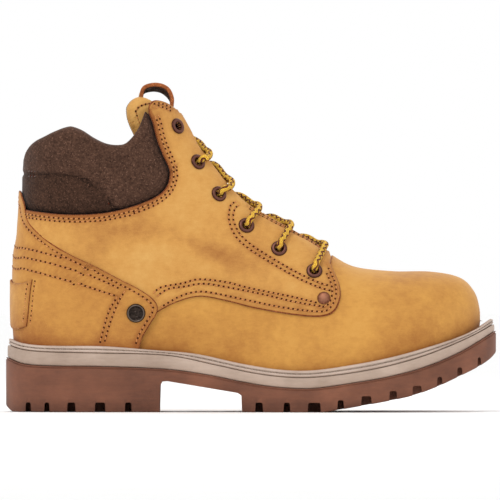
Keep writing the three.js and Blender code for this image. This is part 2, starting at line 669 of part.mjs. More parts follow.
function lane(side, [x, z]) {
  const { u, v } = locate(x, z);
  return layerPoint(side, u, v, TAIL_DEPTH);
}

// One half of the lace: out of the lowest eyelet, up the boot from side to side, then tucked in
function laceHalf(first) {
  const points = [];
  let side = first;
  for (let row = 0; row < 5; row++) {
    points.push(...crossing(side, row));
    side = -side;
  }
  return [...points, ...TAIL.slice(0, -1).map(place => lane(side, place))];
}

// Tube with a ring at every route point, so that tight turns get close rings
function tubeAlong(route, radius, sides = 8) {
  const curve = new THREE.CatmullRomCurve3(route, false, "centripetal");
  const steps = route.length - 1;
  const rings = [];
  const direction = i => curve.getTangent(i / steps);
  let across = new THREE.Vector3(0, 0, 1).cross(direction(0)).normalize();
  for (let i = 0; i <= steps; i++) {
    const along = direction(i);
    across = across.addScaledVector(along, -across.dot(along)).normalize();
    const up = along.clone().cross(across);
    const centre = curve.getPoint(i / steps);
    rings.push(...Array.from({ length: sides }, (_, k) => {
      const turn = 2 * Math.PI * k / sides;
      return centre.clone().addScaledVector(across, radius * Math.cos(turn))
        .addScaledVector(up, radius * Math.sin(turn));
    }));
  }
  const faces = [];
  for (let i = 0; i < steps; i++) {
    for (let k = 0; k < sides; k++) {
      const a = i * sides + k;
      const b = i * sides + (k + 1) % sides;
      faces.push(a, b, a + sides, b, b + sides, a + sides);
    }
  }
  const end = steps * sides;
  for (let k = 1; k < sides - 1; k++) faces.push(0, k + 1, k, end, end + k, end + k + 1);
  const geometry = new THREE.BufferGeometry();
  geometry.setAttribute("position", new THREE.Float32BufferAttribute(rings.flatMap(p => p.toArray()), 3));
  geometry.setIndex(faces);
  return geometry;
}

function lacing() {
  const toInside = side => [byEyelet(side, 0, 0.2, -4), byEyelet(side, 0, 1.5, INSIDE + 0.1),
    byEyelet(side, 0, 6, INSIDE)];
  const { u } = locate(...EYELETS[0]);
  const middle = [LATERAL, MEDIAL].map(side => layerPoint(side, u, vAtOffset(side, u, 12), INSIDE));
  const route = [...laceHalf(LATERAL).reverse(), ...toInside(LATERAL), ...middle,
    ...toInside(MEDIAL).reverse(), ...laceHalf(MEDIAL)];
  addMesh("lace", tubeAlong(route, LACE_RADIUS), "lace");
  for (const [side, label] of [[LATERAL, "lateral"], [MEDIAL, "medial"]]) {
    const before = lane(side, TAIL.at(-2));
    const tip = lane(side, TAIL.at(-1));
    const start = before.clone().lerp(tip, 0.03);
    const route = [start, start.clone().lerp(tip, 0.5), tip];
    addMesh(`aglet_${label}`, tubeAlong(route, LACE_RADIUS - GAP), "plastic");
  }
}

// ---------- bottom unit ----------
const treadLine = profile([[0, 3.5], [5, 0], [20, 0], [158, 0], [194, 0], [206, 1.6], [220, 4], [237, 7.1],
  [252, 10.4], [267, 15.7], [279, 21.2], [292, 27.4], [300, 32.4], [304.5, 36.5]]);
const tread = x => Math.max(treadLine(x), 0);
const arch = [[96, -5], [96, 17.5], [99.5, 19.6], [146.5, 11.6], [146.5, -5]];
const HEEL_SLOTS = [[12.8, 15.8], [24.5, 27.3], [38.7, 43.4], [55.8, 61.9], [74.4, 78.1]];
const FOREFOOT_SLOTS = [[155, 159.3], [172.5, 176.1], [187.5, 195], [205.7, 209.3], [220.4, 226.4],
  [237.8, 242.1], [252.1, 257.4], [267.4, 270.3], [279.9, 282.8], [292.7, 294.5]];
const SLOT_HEIGHT = 6;
const SLOT_REACH = 16;

function bottomUnit() {
  let outsole = slab(0, tread, outsoleTop, 0, LENGTH).subtract(prism(arch));
  for (const [x0, x1] of [...HEEL_SLOTS, ...FOREFOOT_SLOTS]) {
    const outline = [[x0 - 0.4, tread(x0) - 6], [x1 + 0.4, tread(x1) - 6],
      [x1, tread(x1) + SLOT_HEIGHT], [x0, tread(x0) + SLOT_HEIGHT]];
    for (const side of [LATERAL, MEDIAL]) {
      const inner = centreLine(x0) + side * (soleHalf(side, x0) - SLOT_REACH);
      outsole = outsole.subtract(prism(outline, ...[inner, side * WIDE].sort((a, b) => a - b)));
    }
  }
  add("outsole", outsole, "rubber");
  add("midsole", slab(1.2, above(outsoleTop, GAP), midsoleTop, 1.2, LENGTH - 1.2), "taupe");
  const standOff = x => mix(4.4, 0.6, smooth(86, 116, x));
  const welt = slab(2.2, above(midsoleTop, GAP), beadTop, 2.2, LENGTH - 2.2);
  addMesh("welt", geometryOf(largest(welt.subtract(core(standOff)))), "taupe");
  const room = core(x => -3.5 + liningDrop(x));
  const layer = (inset, low, high, x0, x1) =>
    slab(inset, above(midsoleTop, low), above(midsoleTop, high), x0, x1, 16);
  add("filler", layer(8, 0.4, 2.4, 172, 232).intersect(room), "foam");
  add("shank", layer(27, 0.4, 2.0, 58, 160), "steel");
  add("insole_board", layer(8, 3.2, 5.2, 9, 290).intersect(room), "board");
  add("footbed", layer(8.4, 5.6, 10.4, 9, 284).intersect(core(x => -3.9 + liningDrop(x))), "lining");
}

upperLeather();
collar();
linings();
toeCap();
tongue();
pullLoop();
hardware();
lacing();
bottomUnit();

// Origin at the middle of the footprint, on the ground
const box = new THREE.Box3().setFromObject(boot);
boot.position.set(-(box.min.x + box.max.x) / 2, -(box.min.y + box.max.y) / 2, -box.min.z);

export default boot;
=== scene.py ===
import math

import bmesh
import bpy
import numpy as np
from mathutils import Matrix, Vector
from mathutils.geometry import delaunay_2d_cdt
from mathutils.kdtree import KDTree


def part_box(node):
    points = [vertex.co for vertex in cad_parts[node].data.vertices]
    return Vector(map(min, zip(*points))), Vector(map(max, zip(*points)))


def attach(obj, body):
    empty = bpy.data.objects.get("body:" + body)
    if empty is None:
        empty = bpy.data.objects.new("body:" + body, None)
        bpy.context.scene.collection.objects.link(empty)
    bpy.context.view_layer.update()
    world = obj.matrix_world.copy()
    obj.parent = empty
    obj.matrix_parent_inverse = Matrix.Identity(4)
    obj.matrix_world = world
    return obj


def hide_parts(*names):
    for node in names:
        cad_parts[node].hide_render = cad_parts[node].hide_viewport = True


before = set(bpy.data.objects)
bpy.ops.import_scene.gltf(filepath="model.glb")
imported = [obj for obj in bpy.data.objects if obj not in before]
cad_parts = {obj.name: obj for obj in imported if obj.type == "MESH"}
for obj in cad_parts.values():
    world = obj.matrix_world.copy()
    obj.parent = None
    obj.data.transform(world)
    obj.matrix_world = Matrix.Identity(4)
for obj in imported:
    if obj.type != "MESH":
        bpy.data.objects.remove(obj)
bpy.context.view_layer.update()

rng = np.random.default_rng(7)

LENGTH = 304.5
TOE_TIP = 294.0
HEEL_CORNER = 15  # the u at which rays stop starting on the featherline and start up the back
LAST_STATION = 21
LATERAL, MEDIAL = -1, 1
SIDES = ((LATERAL, "lateral"), (MEDIAL, "medial"))
MM = 0.001
# Inner and outer face of each layer, from the base surface
DEPTH = {"heel_patch": (3.7, 5.2), "counter": (2.0, 3.8), "quarter": (0.1, 2.0), "middle": (-1.6, 0.0),
         "lining": (-3.1, -2.3)}
LACE_HALF_GAP = 14.0  # eyestay edge from the centre line
STITCH_PITCH = 3.1
STITCH_SLANT = 0.12  # how far a stitch turns out of its row
STITCH_SINK = 0.16  # how far thread lies below the face of the leather
GAP = 0.05  # between the layers of the sole


# ---------- small helpers ----------
def mix(a, b, t):
    return a + (b - a) * t


def clamp01(t):
    return np.clip(t, 0.0, 1.0)


def smooth(a, b, x):
    t = clamp01((x - a) / (b - a))
    return t * t * (3 - 2 * t)


def profile(points):
    """Smooth curve through a few points, level past its ends."""
    xs, ys = np.array(points, float).T
    order = np.arange(len(xs))
    before, after = np.maximum(order - 1, 0), np.minimum(order + 1, len(xs) - 1)
    slopes = (ys[after] - ys[before]) / (xs[after] - xs[before])

    def at(x):
        x = np.clip(x, xs[0], xs[-1])
        i = np.clip(np.searchsorted(xs, x, side="right") - 1, 0, len(xs) - 2)
        h = xs[i + 1] - xs[i]
        t = (x - xs[i]) / h
        bend = h * t * (1 - t) * ((1 - t) * slopes[i] - t * slopes[i + 1])
        return mix(ys[i], ys[i + 1], t * t * (3 - 2 * t)) + bend

    return at


def end_round(distance, r, power):
    """Quarter round of radius r: 0 at the end, 1 from r inward."""
    d = 1 - clamp01(distance / r)
    return np.maximum(1 - d**power, 0) ** (1 / power)


def catmull(points, step):
    """Smooth line through points, sampled about every step."""
    p = np.array(points, float)
    ends = np.vstack([2 * p[0] - p[1], p, 2 * p[-1] - p[-2]])
    out = []
    for i in range(len(p) - 1):
        a, b, c, d = ends[i:i + 4]
        n = max(int(math.ceil(np.linalg.norm(c - b) / step)), 1)
        t = (np.arange(n) / n)[:, None]
        out.append(0.5 * (2 * b + (c - a) * t + (2 * a - 5 * b + 4 * c - d) * t**2
                          + (3 * b - a - 3 * c + d) * t**3))
    return np.vstack(out + [p[-1:]])


def lengths(points):
    """Length along a line at each of its points."""
    return np.r_[0, np.cumsum(np.linalg.norm(np.diff(points, axis=0), axis=1))]


def pick(points, steps, where):
    """Points of a line at the given lengths; steps is the length at each of its own points."""
    return np.stack([np.interp(where, steps, points[:, k]) for k in range(points.shape[1])], 1)


def resample(points, count):
    """Points spread evenly along a line."""
    steps = lengths(points)
    return pick(points, steps, np.linspace(0, steps[-1], count))


def beside(points, distance):
    """The same side-view line moved to its left."""
    along = np.gradient(points, axis=0)
    along /= np.linalg.norm(along, axis=1)[:, None]
    return points + distance * np.stack([-along[:, 1], along[:, 0]], 1)


def nearest(points, line):
    """Distance of each point to a line of close points."""
    tree = KDTree(len(line))
    for i, p in enumerate(line):
        tree.insert((*p, 0)[:3], i)
    tree.balance()
    return np.array([tree.find((*p, 0)[:3])[2] for p in points])


def inside(points, polygon):
    """Which 2D points lie inside a polygon."""
    x, y = points.T
    result = np.zeros(len(points), bool)
    for (x0, y0), (x1, y1) in zip(polygon, np.roll(polygon, -1, axis=0)):
        crosses = (y0 > y) != (y1 > y)
        with np.errstate(divide="ignore", invalid="ignore"):
            at = (x1 - x0) * (y - y0) / (y1 - y0) + x0
        result ^= crosses & (x < at)
    return result


def fuzz(p, size, seed=0):
    """Smooth noise between about -1 and 1 with features of a given size."""
    q = np.asarray(p, float) / size
    total = np.zeros(len(q))
    for k in range(5):
        a = np.array([math.sin(seed + 1.3 * k), math.cos(seed * 1.7 + 2.1 * k),
                      math.sin(2.4 * k + 0.5 * seed)])
        total += np.sin(2 * (q @ a) + seed + 1.9 * k) * np.cos(1.6 * (q @ np.roll(a, 1)) - 2.3 * k)
    return total / 3


# ---------- heights along the sole ----------
outsole_top = profile([
    (0, 34), (10, 30), (24, 28.6), (60, 28.1), (100, 26.4), (125, 23), (146, 18.8), (162, 16.1),
    (178, 14.7), (192, 14.8), (216, 18.2), (238, 22.1), (260, 28), (281, 36.7), (296, 45.2), (304, 50.2)])
midsole_top = profile([
    (0, 42), (10, 38.8), (24, 37.3), (60, 36.4), (101, 35), (130, 29.2), (154, 24.1), (175, 21.6),
    (192, 21.7), (216, 24.6), (238, 28.9), (260, 35.2), (280, 43), (294, 49.6), (303, 54.5)])
bead_top = profile([
    (0, 46.5), (10, 42.8), (24, 41.2), (60, 40.8), (90, 38.6), (118, 36.1), (146, 30.1), (170, 26.4),
    (190, 26), (216, 29.6), (238, 33.9), (260, 39.8), (281, 46.6), (294, 52.6), (301, 57.5)])
tread_line = profile([
    (0, 3.5), (5, 0), (20, 0), (158, 0), (194, 0), (206, 1.6), (220, 4), (237, 7.1), (252, 10.4),
    (267, 15.7), (279, 21.2), (292, 27.4), (300, 32.4), (304.5, 36.5)])


def tread(x):
    return np.maximum(tread_line(x), 0)


def feather(x):
    return midsole_top(x) + 1 + 2.4 * (1 - smooth(6, 26, x))


def upper_inset(x):
    return mix(8.6, 6.8, smooth(80, 130, x))


# ---------- widths from the centre line ----------
sole_lateral = profile([(0, 37), (40, 38.8), (80, 38.6), (120, 38.8), (160, 45.5), (200, 54.5),
                        (235, 58), (265, 56), (304, 51)])
sole_medial = profile([(0, 37), (40, 38.4), (80, 36.8), (120, 33.4), (160, 37.5), (200, 46.5),
                       (235, 50.5), (265, 49), (304, 45)])
shaft_width = profile([(40, 30.7), (60, 33), (85, 33.5), (110, 33.5), (130, 35.5), (155, 39),
                       (180, 41.5), (215, 43)])
heel_back = profile([(36, 8.8), (60, 7.6), (88, 7.6), (106, 8.4), (125, 9.8), (150, 10.6),
                     (165, 11.2), (215, 12)])


def centre_line(x):
    return 7 * smooth(195, 300, x)


def sole_width(side, x):
    return np.where(np.asarray(side) < 0, sole_lateral(x), sole_medial(x))


def sole_half(side, x, inset=0.0):
    ends = end_round(x - inset, 38, 2.2) * end_round(LENGTH - inset - x, 76, 2.2)
    return np.maximum((sole_width(side, x) - inset) * ends, 0)


# ---------- base surface of the upper ----------
# Each station is where a ray starts (x on the featherline, or z on the back) and where it ends
STATIONS = [
    (294, 294.6, 56), (292, 294.2, 64), (286.5, 291, 74.5), (276, 282, 83.2), (257, 264, 86.9),
    (231, 240, 87.2), (206, 216, 90.2), (182, 200.5, 98.5), (158, 184, 109), (128, 166, 119.7),
    (95, 150.5, 129.3), (62, 138.5, 141), (37, 130, 152), (20, 124.5, 159), (11.5, 121, 164),
    (8.75, 118.5, 168), (62, 114.5, 175.5), (95, 109.5, 184), (125, 106.5, 191), (150, 104, 198),
    (172, 102, 205), (215, 99, 222)]
HEEL_X = 8.75
heel_start = float(heel_back(feather(HEEL_X)))
ray_foot = profile([(i, s[0]) for i, s in enumerate(STATIONS[:HEEL_CORNER])] + [(HEEL_CORNER, heel_start)])
ray_back = profile([(HEEL_CORNER, float(feather(HEEL_X)))]
                   + [(HEEL_CORNER + 1 + i, s[0]) for i, s in enumerate(STATIONS[HEEL_CORNER + 1:])])
ridge_x = profile([(i, s[1]) for i, s in enumerate(STATIONS)])
ridge_z = profile([(i, s[2]) for i, s in enumerate(STATIONS)])


def ray_start(u):
    low = np.asarray(u) < HEEL_CORNER
    foot = ray_foot(u)
    back = ray_back(u)
    return np.where(low, foot, heel_back(back)), np.where(low, feather(foot), back)


def ray_step(u, v):
    up = 1 - np.maximum(1 - v, 0) ** 1.9
    across = (1 - np.cos(np.pi * v)) / 2
    return mix(up, across, smooth(10, 15, u))


def half_width(side, u, t, x, z):
    fore = smooth(205, 255, x)
    plan_x = mix(x, ray_start(u)[0], fore)
    low = (sole_width(side, plan_x) - upper_inset(plan_x)) * end_round(TOE_TIP - plan_x, 68, 2.2)
    rise = smooth(0, 62, z - feather(x)) * (1 - smooth(140, 215, x))
    shaft = smooth(5, 9, u)
    crown = np.maximum(1 - t ** mix(3.0, 4.3, shaft), 0) ** (1 / mix(2.4, 2.9, shaft))
    bulge = 1 + 0.04 * np.sin(np.pi * clamp01(t / 0.6)) * (1 - shaft)
    return mix(low, shaft_width(z), rise) * crown * bulge * end_round(x - heel_back(z), 40, 2.15)


def surface(side, u, v):
    x0, z0 = ray_start(u)
    t = ray_step(u, v)
    x = mix(x0, ridge_x(u), t)
    z = mix(z0, ridge_z(u), t)
    y = centre_line(x) + side * half_width(side, u, t, x, z)
    return np.stack(np.broadcast_arrays(x, y, z), -1)


def normal_at(side, u, v):
    du, dv = 0.02, 0.004
    along_u = surface(side, np.minimum(u + du, LAST_STATION), v) - surface(side, np.maximum(u - du, 0), v)
    along_v = surface(side, u, np.minimum(v + dv, 1)) - surface(side, u, np.maximum(v - dv, 0))
    n = np.cross(along_u, along_v) * np.asarray(side)[..., None]
    seam = (v >= 1 - 1e-6) | (u <= 1e-6) | ((v <= 1e-6) & (u >= HEEL_CORNER))
    n[..., 1] = np.where(seam, 0, n[..., 1])
    return n / np.maximum(np.linalg.norm(n, axis=-1), 1e-12)[..., None]


def layer_point(side, u, v, depth):
    side, u, v = (np.asarray(q, float) for q in (side, u, v))
    side, u, v = np.broadcast_arrays(side, u, v)
    return surface(side, u, v) + normal_at(side, u, v) * np.asarray(depth)[..., None]


def locate(points):
    """Where side-view points lie on the base surface, as rows of u and v."""
    x, z = np.asarray(points, float).T
    low, high = np.full(len(x), 0.001), np.full(len(x), float(LAST_STATION))
    for _ in range(40):
        middle = (low + high) / 2
        x0, z0 = ray_start(middle)
        past = (ridge_x(middle) - x0) * (z - z0) - (ridge_z(middle) - z0) * (x - x0) > 0
        low, high = np.where(past, middle, low), np.where(past, high, middle)
    u = (low + high) / 2
    x0, z0 = ray_start(u)
    rx, rz = ridge_x(u) - x0, ridge_z(u) - z0
    along = ((x - x0) * rx + (z - z0) * rz) / (rx * rx + rz * rz)
    low, high = np.zeros(len(x)), np.ones(len(x))
    for _ in range(40):
        middle = (low + high) / 2
        short = ray_step(u, middle) < along
        low, high = np.where(short, middle, low), np.where(short, high, middle)
    return np.stack([u, (low + high) / 2], 1)


def v_at_offset(side, u, distance):
    """v at which the surface is a given distance from the centre line, near the ridge."""
    u = np.asarray(u, float)
    low, high = np.full(u.shape, 0.5), np.ones(u.shape)
    for _ in range(40):
        middle = (low + high) / 2
        p = surface(side, u, middle)
        out = np.abs(p[..., 1] - centre_line(p[..., 0])) > distance
        low, high = np.where(out, middle, low), np.where(out, high, middle)
    return (low + high) / 2


# ---------- the row frame ----------
plan_x = np.linspace(0.25, LENGTH - 0.25, 400)
low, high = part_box("outsole")
OFFSET = np.array([
    low.x / MM,
    (low.y + high.y) / 2 / MM - (np.max(centre_line(plan_x) + sole_half(MEDIAL, plan_x))
                                 + np.min(centre_line(plan_x) - sole_half(LATERAL, plan_x))) / 2,
    low.z / MM])


def place(points):
    return (np.asarray(points, float) + OFFSET) * MM


# ---------- materials ----------
def srgb(r, g, b):
    """Linear colour of an 8-bit colour."""
    linear = [((c / 255 + 0.055) / 1.055) ** 2.4 if c > 10 else c / 255 / 12.92 for c in (r, g, b)]
    return (*linear, 1.0)


class Look:
    """A procedural material and a few short ways to wire its nodes."""

    def __init__(self, name, roughness=0.8, metallic=0.0, sheen=0.0, sheen_rough=0.5, coat=0.0, level=0.5):
        self.material = bpy.data.materials.new(name)
        self.material.use_nodes = True
        self.tree = self.material.node_tree
        self.shader = self.tree.nodes["Principled BSDF"]
        for key, value in (("Roughness", roughness), ("Metallic", metallic), ("Sheen Weight", sheen),
                           ("Sheen Roughness", sheen_rough), ("Coat Weight", coat),
                           ("Specular IOR Level", level)):
            self.shader.inputs[key].default_value = value
        self.place = self.add("ShaderNodeTexCoord").outputs["Object"]

    def add(self, kind, **settings):
        node = self.tree.nodes.new(kind)
        for key, value in settings.items():
            setattr(node, key, value)
        return node

    def put(self, value, socket):
        if isinstance(value, bpy.types.NodeSocket):
            self.tree.links.new(value, socket)
        else:
            socket.default_value = value

    def noise(self, size, detail=4, rough=0.55, warp=0.0, stretch=None):
        """Noise between 0 and 1 with features of a size in millimetres."""
        node = self.add("ShaderNodeTexNoise")
        where = self.place
        if stretch:
            mapping = self.add("ShaderNodeMapping")
            mapping.inputs["Scale"].default_value = stretch
            self.put(where, mapping.inputs["Vector"])
            where = mapping.outputs["Vector"]
        self.put(where, node.inputs["Vector"])
        for key, value in (("Scale", 1 / (size * MM)), ("Detail", detail), ("Roughness", rough),
                           ("Distortion", warp)):
            node.inputs[key].default_value = value
        return node.outputs["Fac"]

    def cells(self, size):
        """Distance to the nearest of many scattered points, about a size in millimetres apart."""
        node = self.add("ShaderNodeTexVoronoi", feature="F1")
        self.put(self.place, node.inputs["Vector"])
        node.inputs["Scale"].default_value = 1 / (size * MM)
        return node.outputs["Distance"]

    def value(self, name):
        """A number stored on the mesh's points."""
        return self.add("ShaderNodeAttribute", attribute_name=name).outputs["Fac"]

    def math(self, operation, a, b=0.0, clamp=False):
        node = self.add("ShaderNodeMath", operation=operation, use_clamp=clamp)
        self.put(a, node.inputs[0])
        self.put(b, node.inputs[1])
        return node.outputs[0]

    def plus(self, a, b, clamp=False):
        return self.math("ADD", a, b, clamp)

    def times(self, a, b, clamp=False):
        return self.math("MULTIPLY", a, b, clamp)

    def minus(self, a, b):
        return self.math("SUBTRACT", a, b)

    def vary(self, tone, noise, amount, clamp=False):
        """A tone made lighter and darker by a noise."""
        return self.plus(tone, self.times(self.minus(noise, 0.5), amount), clamp)

    def ramp(self, fac, stops):
        node = self.add("ShaderNodeValToRGB")
        elements = node.color_ramp.elements
        while len(elements) < len(stops):
            elements.new(0.5)
        for element, (where, colour) in zip(elements, stops):
            element.position = where
            element.color = colour
        self.put(fac, node.inputs["Fac"])
        return node.outputs["Color"]

    def blend(self, fac, a, b):
        node = self.add("ShaderNodeMix", data_type="RGBA", blend_type="MIX")
        self.put(fac, node.inputs[0])
        self.put(a, node.inputs[6])
        self.put(b, node.inputs[7])
        return node.outputs[2]

    def colour(self, value):
        self.put(value, self.shader.inputs["Base Color"])

    def rough(self, value):
        self.put(value, self.shader.inputs["Roughness"])

    def bump(self, height, distance, strength=1.0):
        """Bump whose full height is a distance in millimetres."""
        node = self.add("ShaderNodeBump")
        node.inputs["Strength"].default_value = strength
        node.inputs["Distance"].default_value = distance * MM
        self.put(height, node.inputs["Height"])
        self.put(node.outputs["Normal"], self.shader.inputs["Normal"])
        return self


def nubuck(name, deep, base, light, grain=1.0):
    """Brushed leather: cloudy colour, fine nap, small creases, deeper near seams by the tint values, which
    carry painted shade as well as tone.
    """
    look = Look(name, roughness=0.82, sheen=0.12, sheen_rough=0.45, level=0.22)
    cloud = look.noise(38, 3, 0.5)
    mottle = look.noise(5.5, 6, 0.62)
    nap = look.noise(0.42, 3, 0.6)
    streak = look.noise(1.6, 4, 0.65, stretch=(0.4, 1.0, 1.3))
    tone = look.vary(look.value("tint"), cloud, 0.75)
    tone = look.vary(tone, mottle, 0.45)
    tone = look.vary(tone, streak, 0.22)
    tone = look.vary(tone, nap, 0.3 * grain, clamp=True)
    look.colour(look.ramp(tone, [(0.0, srgb(*deep)), (0.5, srgb(*base)), (1.0, srgb(*light))]))
    height = look.plus(look.times(nap, 0.5), look.times(streak, 0.5))
    look.rough(look.plus(0.74, look.times(mottle, 0.18)))
    return look.bump(look.plus(height, look.times(mottle, 0.8)), 0.16, 0.55).material


def suede(name, dark, light, sheen=0.1):
    look = Look(name, roughness=0.95, sheen=sheen, sheen_rough=0.35, level=0.12)
    fibre = look.noise(0.75, 5, 0.75)
    patch = look.noise(7, 4, 0.6, warp=0.6)
    speck = look.noise(1.6, 2, 0.5)
    tone = look.vary(look.plus(look.times(fibre, 0.75), look.times(patch, 0.45)), speck, 0.8)
    tone = look.plus(tone, look.minus(look.value("tint"), 0.62), clamp=True)
    cloth = look.ramp(tone, [(0.12, srgb(*dark)), (0.85, srgb(*light))])
    fleck = look.math("GREATER_THAN", look.noise(0.9, 2, 0.5), 0.64)
    look.colour(look.blend(look.times(fleck, 0.5), cloth, srgb(*[c * 1.25 + 12 for c in light])))
    return look.bump(look.plus(fibre, look.times(speck, 0.7)), 0.42, 0.8).material


def rubber(name, dark, light, gloss=0.55, grit=1.0):
    look = Look(name, roughness=gloss, level=0.4)
    cloud = look.noise(22, 4, 0.55)
    fine = look.noise(0.8, 3, 0.6)
    scuff = look.noise(3.2, 6, 0.7, stretch=(0.3, 0.6, 1.6))
    tone = look.plus(look.times(cloud, 0.7), look.times(scuff, 0.45))
    tone = look.plus(tone, look.minus(look.value("tint"), 0.55), clamp=True)
    look.colour(look.ramp(tone, [(0.15, srgb(*dark)), (0.85, srgb(*light))]))
    look.rough(look.plus(gloss - 0.1, look.times(scuff, 0.3)))
    return look.bump(look.plus(fine, look.times(scuff, 0.6)), 0.12 * grit, 0.6).material


def metal(name, dark, light, roughness, wear=(200, 170, 150)):
    look = Look(name, roughness=roughness, metallic=1.0)
    patina = look.noise(1.4, 5, 0.65)
    scratch = look.noise(0.35, 3, 0.6, stretch=(1, 0.25, 1))
    tone = look.ramp(patina, [(0.3, srgb(*dark)), (0.7, srgb(*light))])
    look.colour(look.blend(look.times(look.value("tint"), 0.7, clamp=True), tone, srgb(*wear)))
    look.rough(look.plus(roughness - 0.08, look.times(scratch, 0.25)))
    return look.bump(look.plus(patina, scratch), 0.03, 0.5).material


def fabric(name, dark, light, pitch=0.9):
    """Knitted spacer fabric of the linings."""
    look = Look(name, roughness=0.95, sheen=0.3, sheen_rough=0.4, level=0.15)
    knots = look.cells(pitch)
    fluff = look.noise(0.5, 4, 0.7)
    tone = look.plus(look.times(knots, 0.9), look.times(fluff, 0.5), clamp=True)
    look.colour(look.ramp(tone, [(0.2, srgb(*light)), (0.9, srgb(*dark))]))
    return look.bump(look.minus(fluff, knots), 0.3, 0.7).material


def thread(name, dark, light):
    look = Look(name, roughness=0.6, sheen=0.2, level=0.35)
    twist = look.add("ShaderNodeTexWave", wave_type="BANDS", bands_direction="DIAGONAL")
    look.put(look.place, twist.inputs["Vector"])
    twist.inputs["Scale"].default_value = 550
    look.colour(look.ramp(twist.outputs["Fac"], [(0.1, srgb(*dark)), (0.8, srgb(*light))]))
    return look.bump(twist.outputs["Fac"], 0.08, 0.6).material


NUBUCK = nubuck("nubuck", (150, 92, 44), (198, 144, 74), (218, 174, 104))
NUBUCK_TOE = nubuck("nubuck_toe", (156, 98, 44), (200, 145, 70), (213, 165, 90), 0.8)
NUBUCK_DARK = nubuck("nubuck_counter", (146, 86, 40), (192, 136, 66), (210, 162, 86))
RAW_EDGE = suede("raw_leather_edge", (112, 56, 28), (186, 112, 66), 0.15)
SUEDE = suede("suede_upper_panel", (34, 20, 14), (98, 70, 56))
SUEDE_LOW = suede("suede_rear_panel", (26, 15, 10), (82, 57, 44))
LINING = fabric("lining_knit", (46, 38, 33), (104, 90, 78))
FOOTBED = fabric("footbed_cover", (58, 50, 44), (120, 106, 92), 1.4)
OUTSOLE = rubber("outsole_rubber", (78, 42, 26), (138, 86, 62), 0.62)
MIDSOLE = rubber("midsole_rubber", (150, 128, 112), (196, 174, 158), 0.6, 0.6)
WELT = rubber("welt_rubber", (156, 135, 120), (206, 186, 172), 0.6, 0.8)
COPPER = metal("antique_copper", (46, 26, 24), (92, 56, 48), 0.36, (128, 88, 76))
BRONZE = metal("copper_rivet", (98, 58, 42), (142, 92, 70), 0.45, (168, 118, 92))
GUNMETAL = metal("gunmetal", (28, 23, 21), (66, 56, 50), 0.3, (128, 114, 104))
THREAD = thread("thread", (160, 92, 42), (206, 140, 72))
THREAD_DARK = thread("suede_thread", (38, 24, 20), (84, 60, 50))
THREAD_GREY = thread("welt_thread", (120, 100, 86), (176, 156, 140))
# Painted shade: the dark of a needle hole, laid as a mark at each stitch's end.
HOLE_SHADE = Look("needle_hole_shade", roughness=1.0, level=0.1)
HOLE_SHADE.colour(HOLE_SHADE.ramp(HOLE_SHADE.noise(0.6), [(0.3, srgb(50, 20, 12)), (0.7, srgb(84, 38, 20))]))
HOLE_SHADE = HOLE_SHADE.material
PLASTIC = rubber("aglet_plastic", (60, 38, 20), (96, 64, 36), 0.35, 0.3)
BOARD = fabric("board_fibre", (120, 96, 66), (176, 150, 112), 2.0)
STEEL = metal("pressed_steel", (120, 122, 124), (176, 178, 180), 0.38)
FOAM = fabric("foam_cells", (150, 140, 120), (196, 188, 168), 0.7)


def lace_look():
    """Round braid: yellow with three dark zigzag tracers that run along it."""
    look = Look("lace_braid", roughness=0.7, sheen=0.04, level=0.25)
    uv = look.add("ShaderNodeSeparateXYZ")
    look.put(look.add("ShaderNodeTexCoord").outputs["UV"], uv.inputs[0])
    along, around = uv.outputs[0], uv.outputs[1]
    zig = look.math("PINGPONG", look.times(along, 1 / 4.4), 0.5)
    shift = look.times(look.minus(zig, 0.25), 0.3)
    turn = look.math("FRACT", look.times(look.plus(around, shift), 3.0))
    off = look.math("ABSOLUTE", look.minus(turn, 0.5))
    dark = look.math("LESS_THAN", off, 0.17)
    strands = [look.math("SINE", look.times(combine(along, look.times(around, 6.0)), 2 * math.pi / 1.15))
               for combine in (look.plus, look.minus)]
    weave = look.times(*strands)
    fleck = look.plus(look.times(weave, 0.35), look.noise(0.6, 3), clamp=True)
    yellow = look.ramp(fleck, [(0.1, srgb(188, 120, 26)), (0.7, srgb(250, 204, 72))])
    brown = look.ramp(fleck, [(0.2, srgb(66, 18, 8)), (0.9, srgb(124, 50, 26))])
    look.colour(look.blend(dark, yellow, brown))
    return look.bump(weave, 0.35, 0.8).material


LACE = lace_look()


# ---------- meshes ----------
def make(name, verts, faces, materials, face_material=None, body="boot", replaces=(), slot=None,
         angle=42, tint=None, uv=None):
    """A mesh piece from millimetre points, riding on its body."""
    mesh = bpy.data.meshes.new(name)
    mesh.from_pydata(place(verts).tolist(), [], [tuple(f) for f in faces])
    for m in materials:
        mesh.materials.append(m)
    if face_material is not None:
        mesh.polygons.foreach_set("material_index", np.asarray(face_material, np.int32))
    mesh.polygons.foreach_set("use_smooth", np.ones(len(mesh.polygons), bool))
    values = np.full(len(verts), 0.5) if tint is None else np.asarray(tint, float)
    mesh.attributes.new("tint", "FLOAT", "POINT").data.foreach_set("value", values.astype(np.float32))
    if uv is not None:
        layer = mesh.uv_layers.new(name="UVMap")
        loops = np.zeros(len(mesh.loops), np.int32)
        mesh.loops.foreach_get("vertex_index", loops)
        layer.data.foreach_set("uv", np.asarray(uv)[loops].astype(np.float32).ravel())
    mesh.update()
    mesh.set_sharp_from_angle(angle=math.radians(angle))
    obj = bpy.data.objects.new(name, mesh)
    bpy.context.scene.collection.objects.link(obj)
    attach(obj, body)
    if replaces:
        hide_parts(*replaces)
    return obj


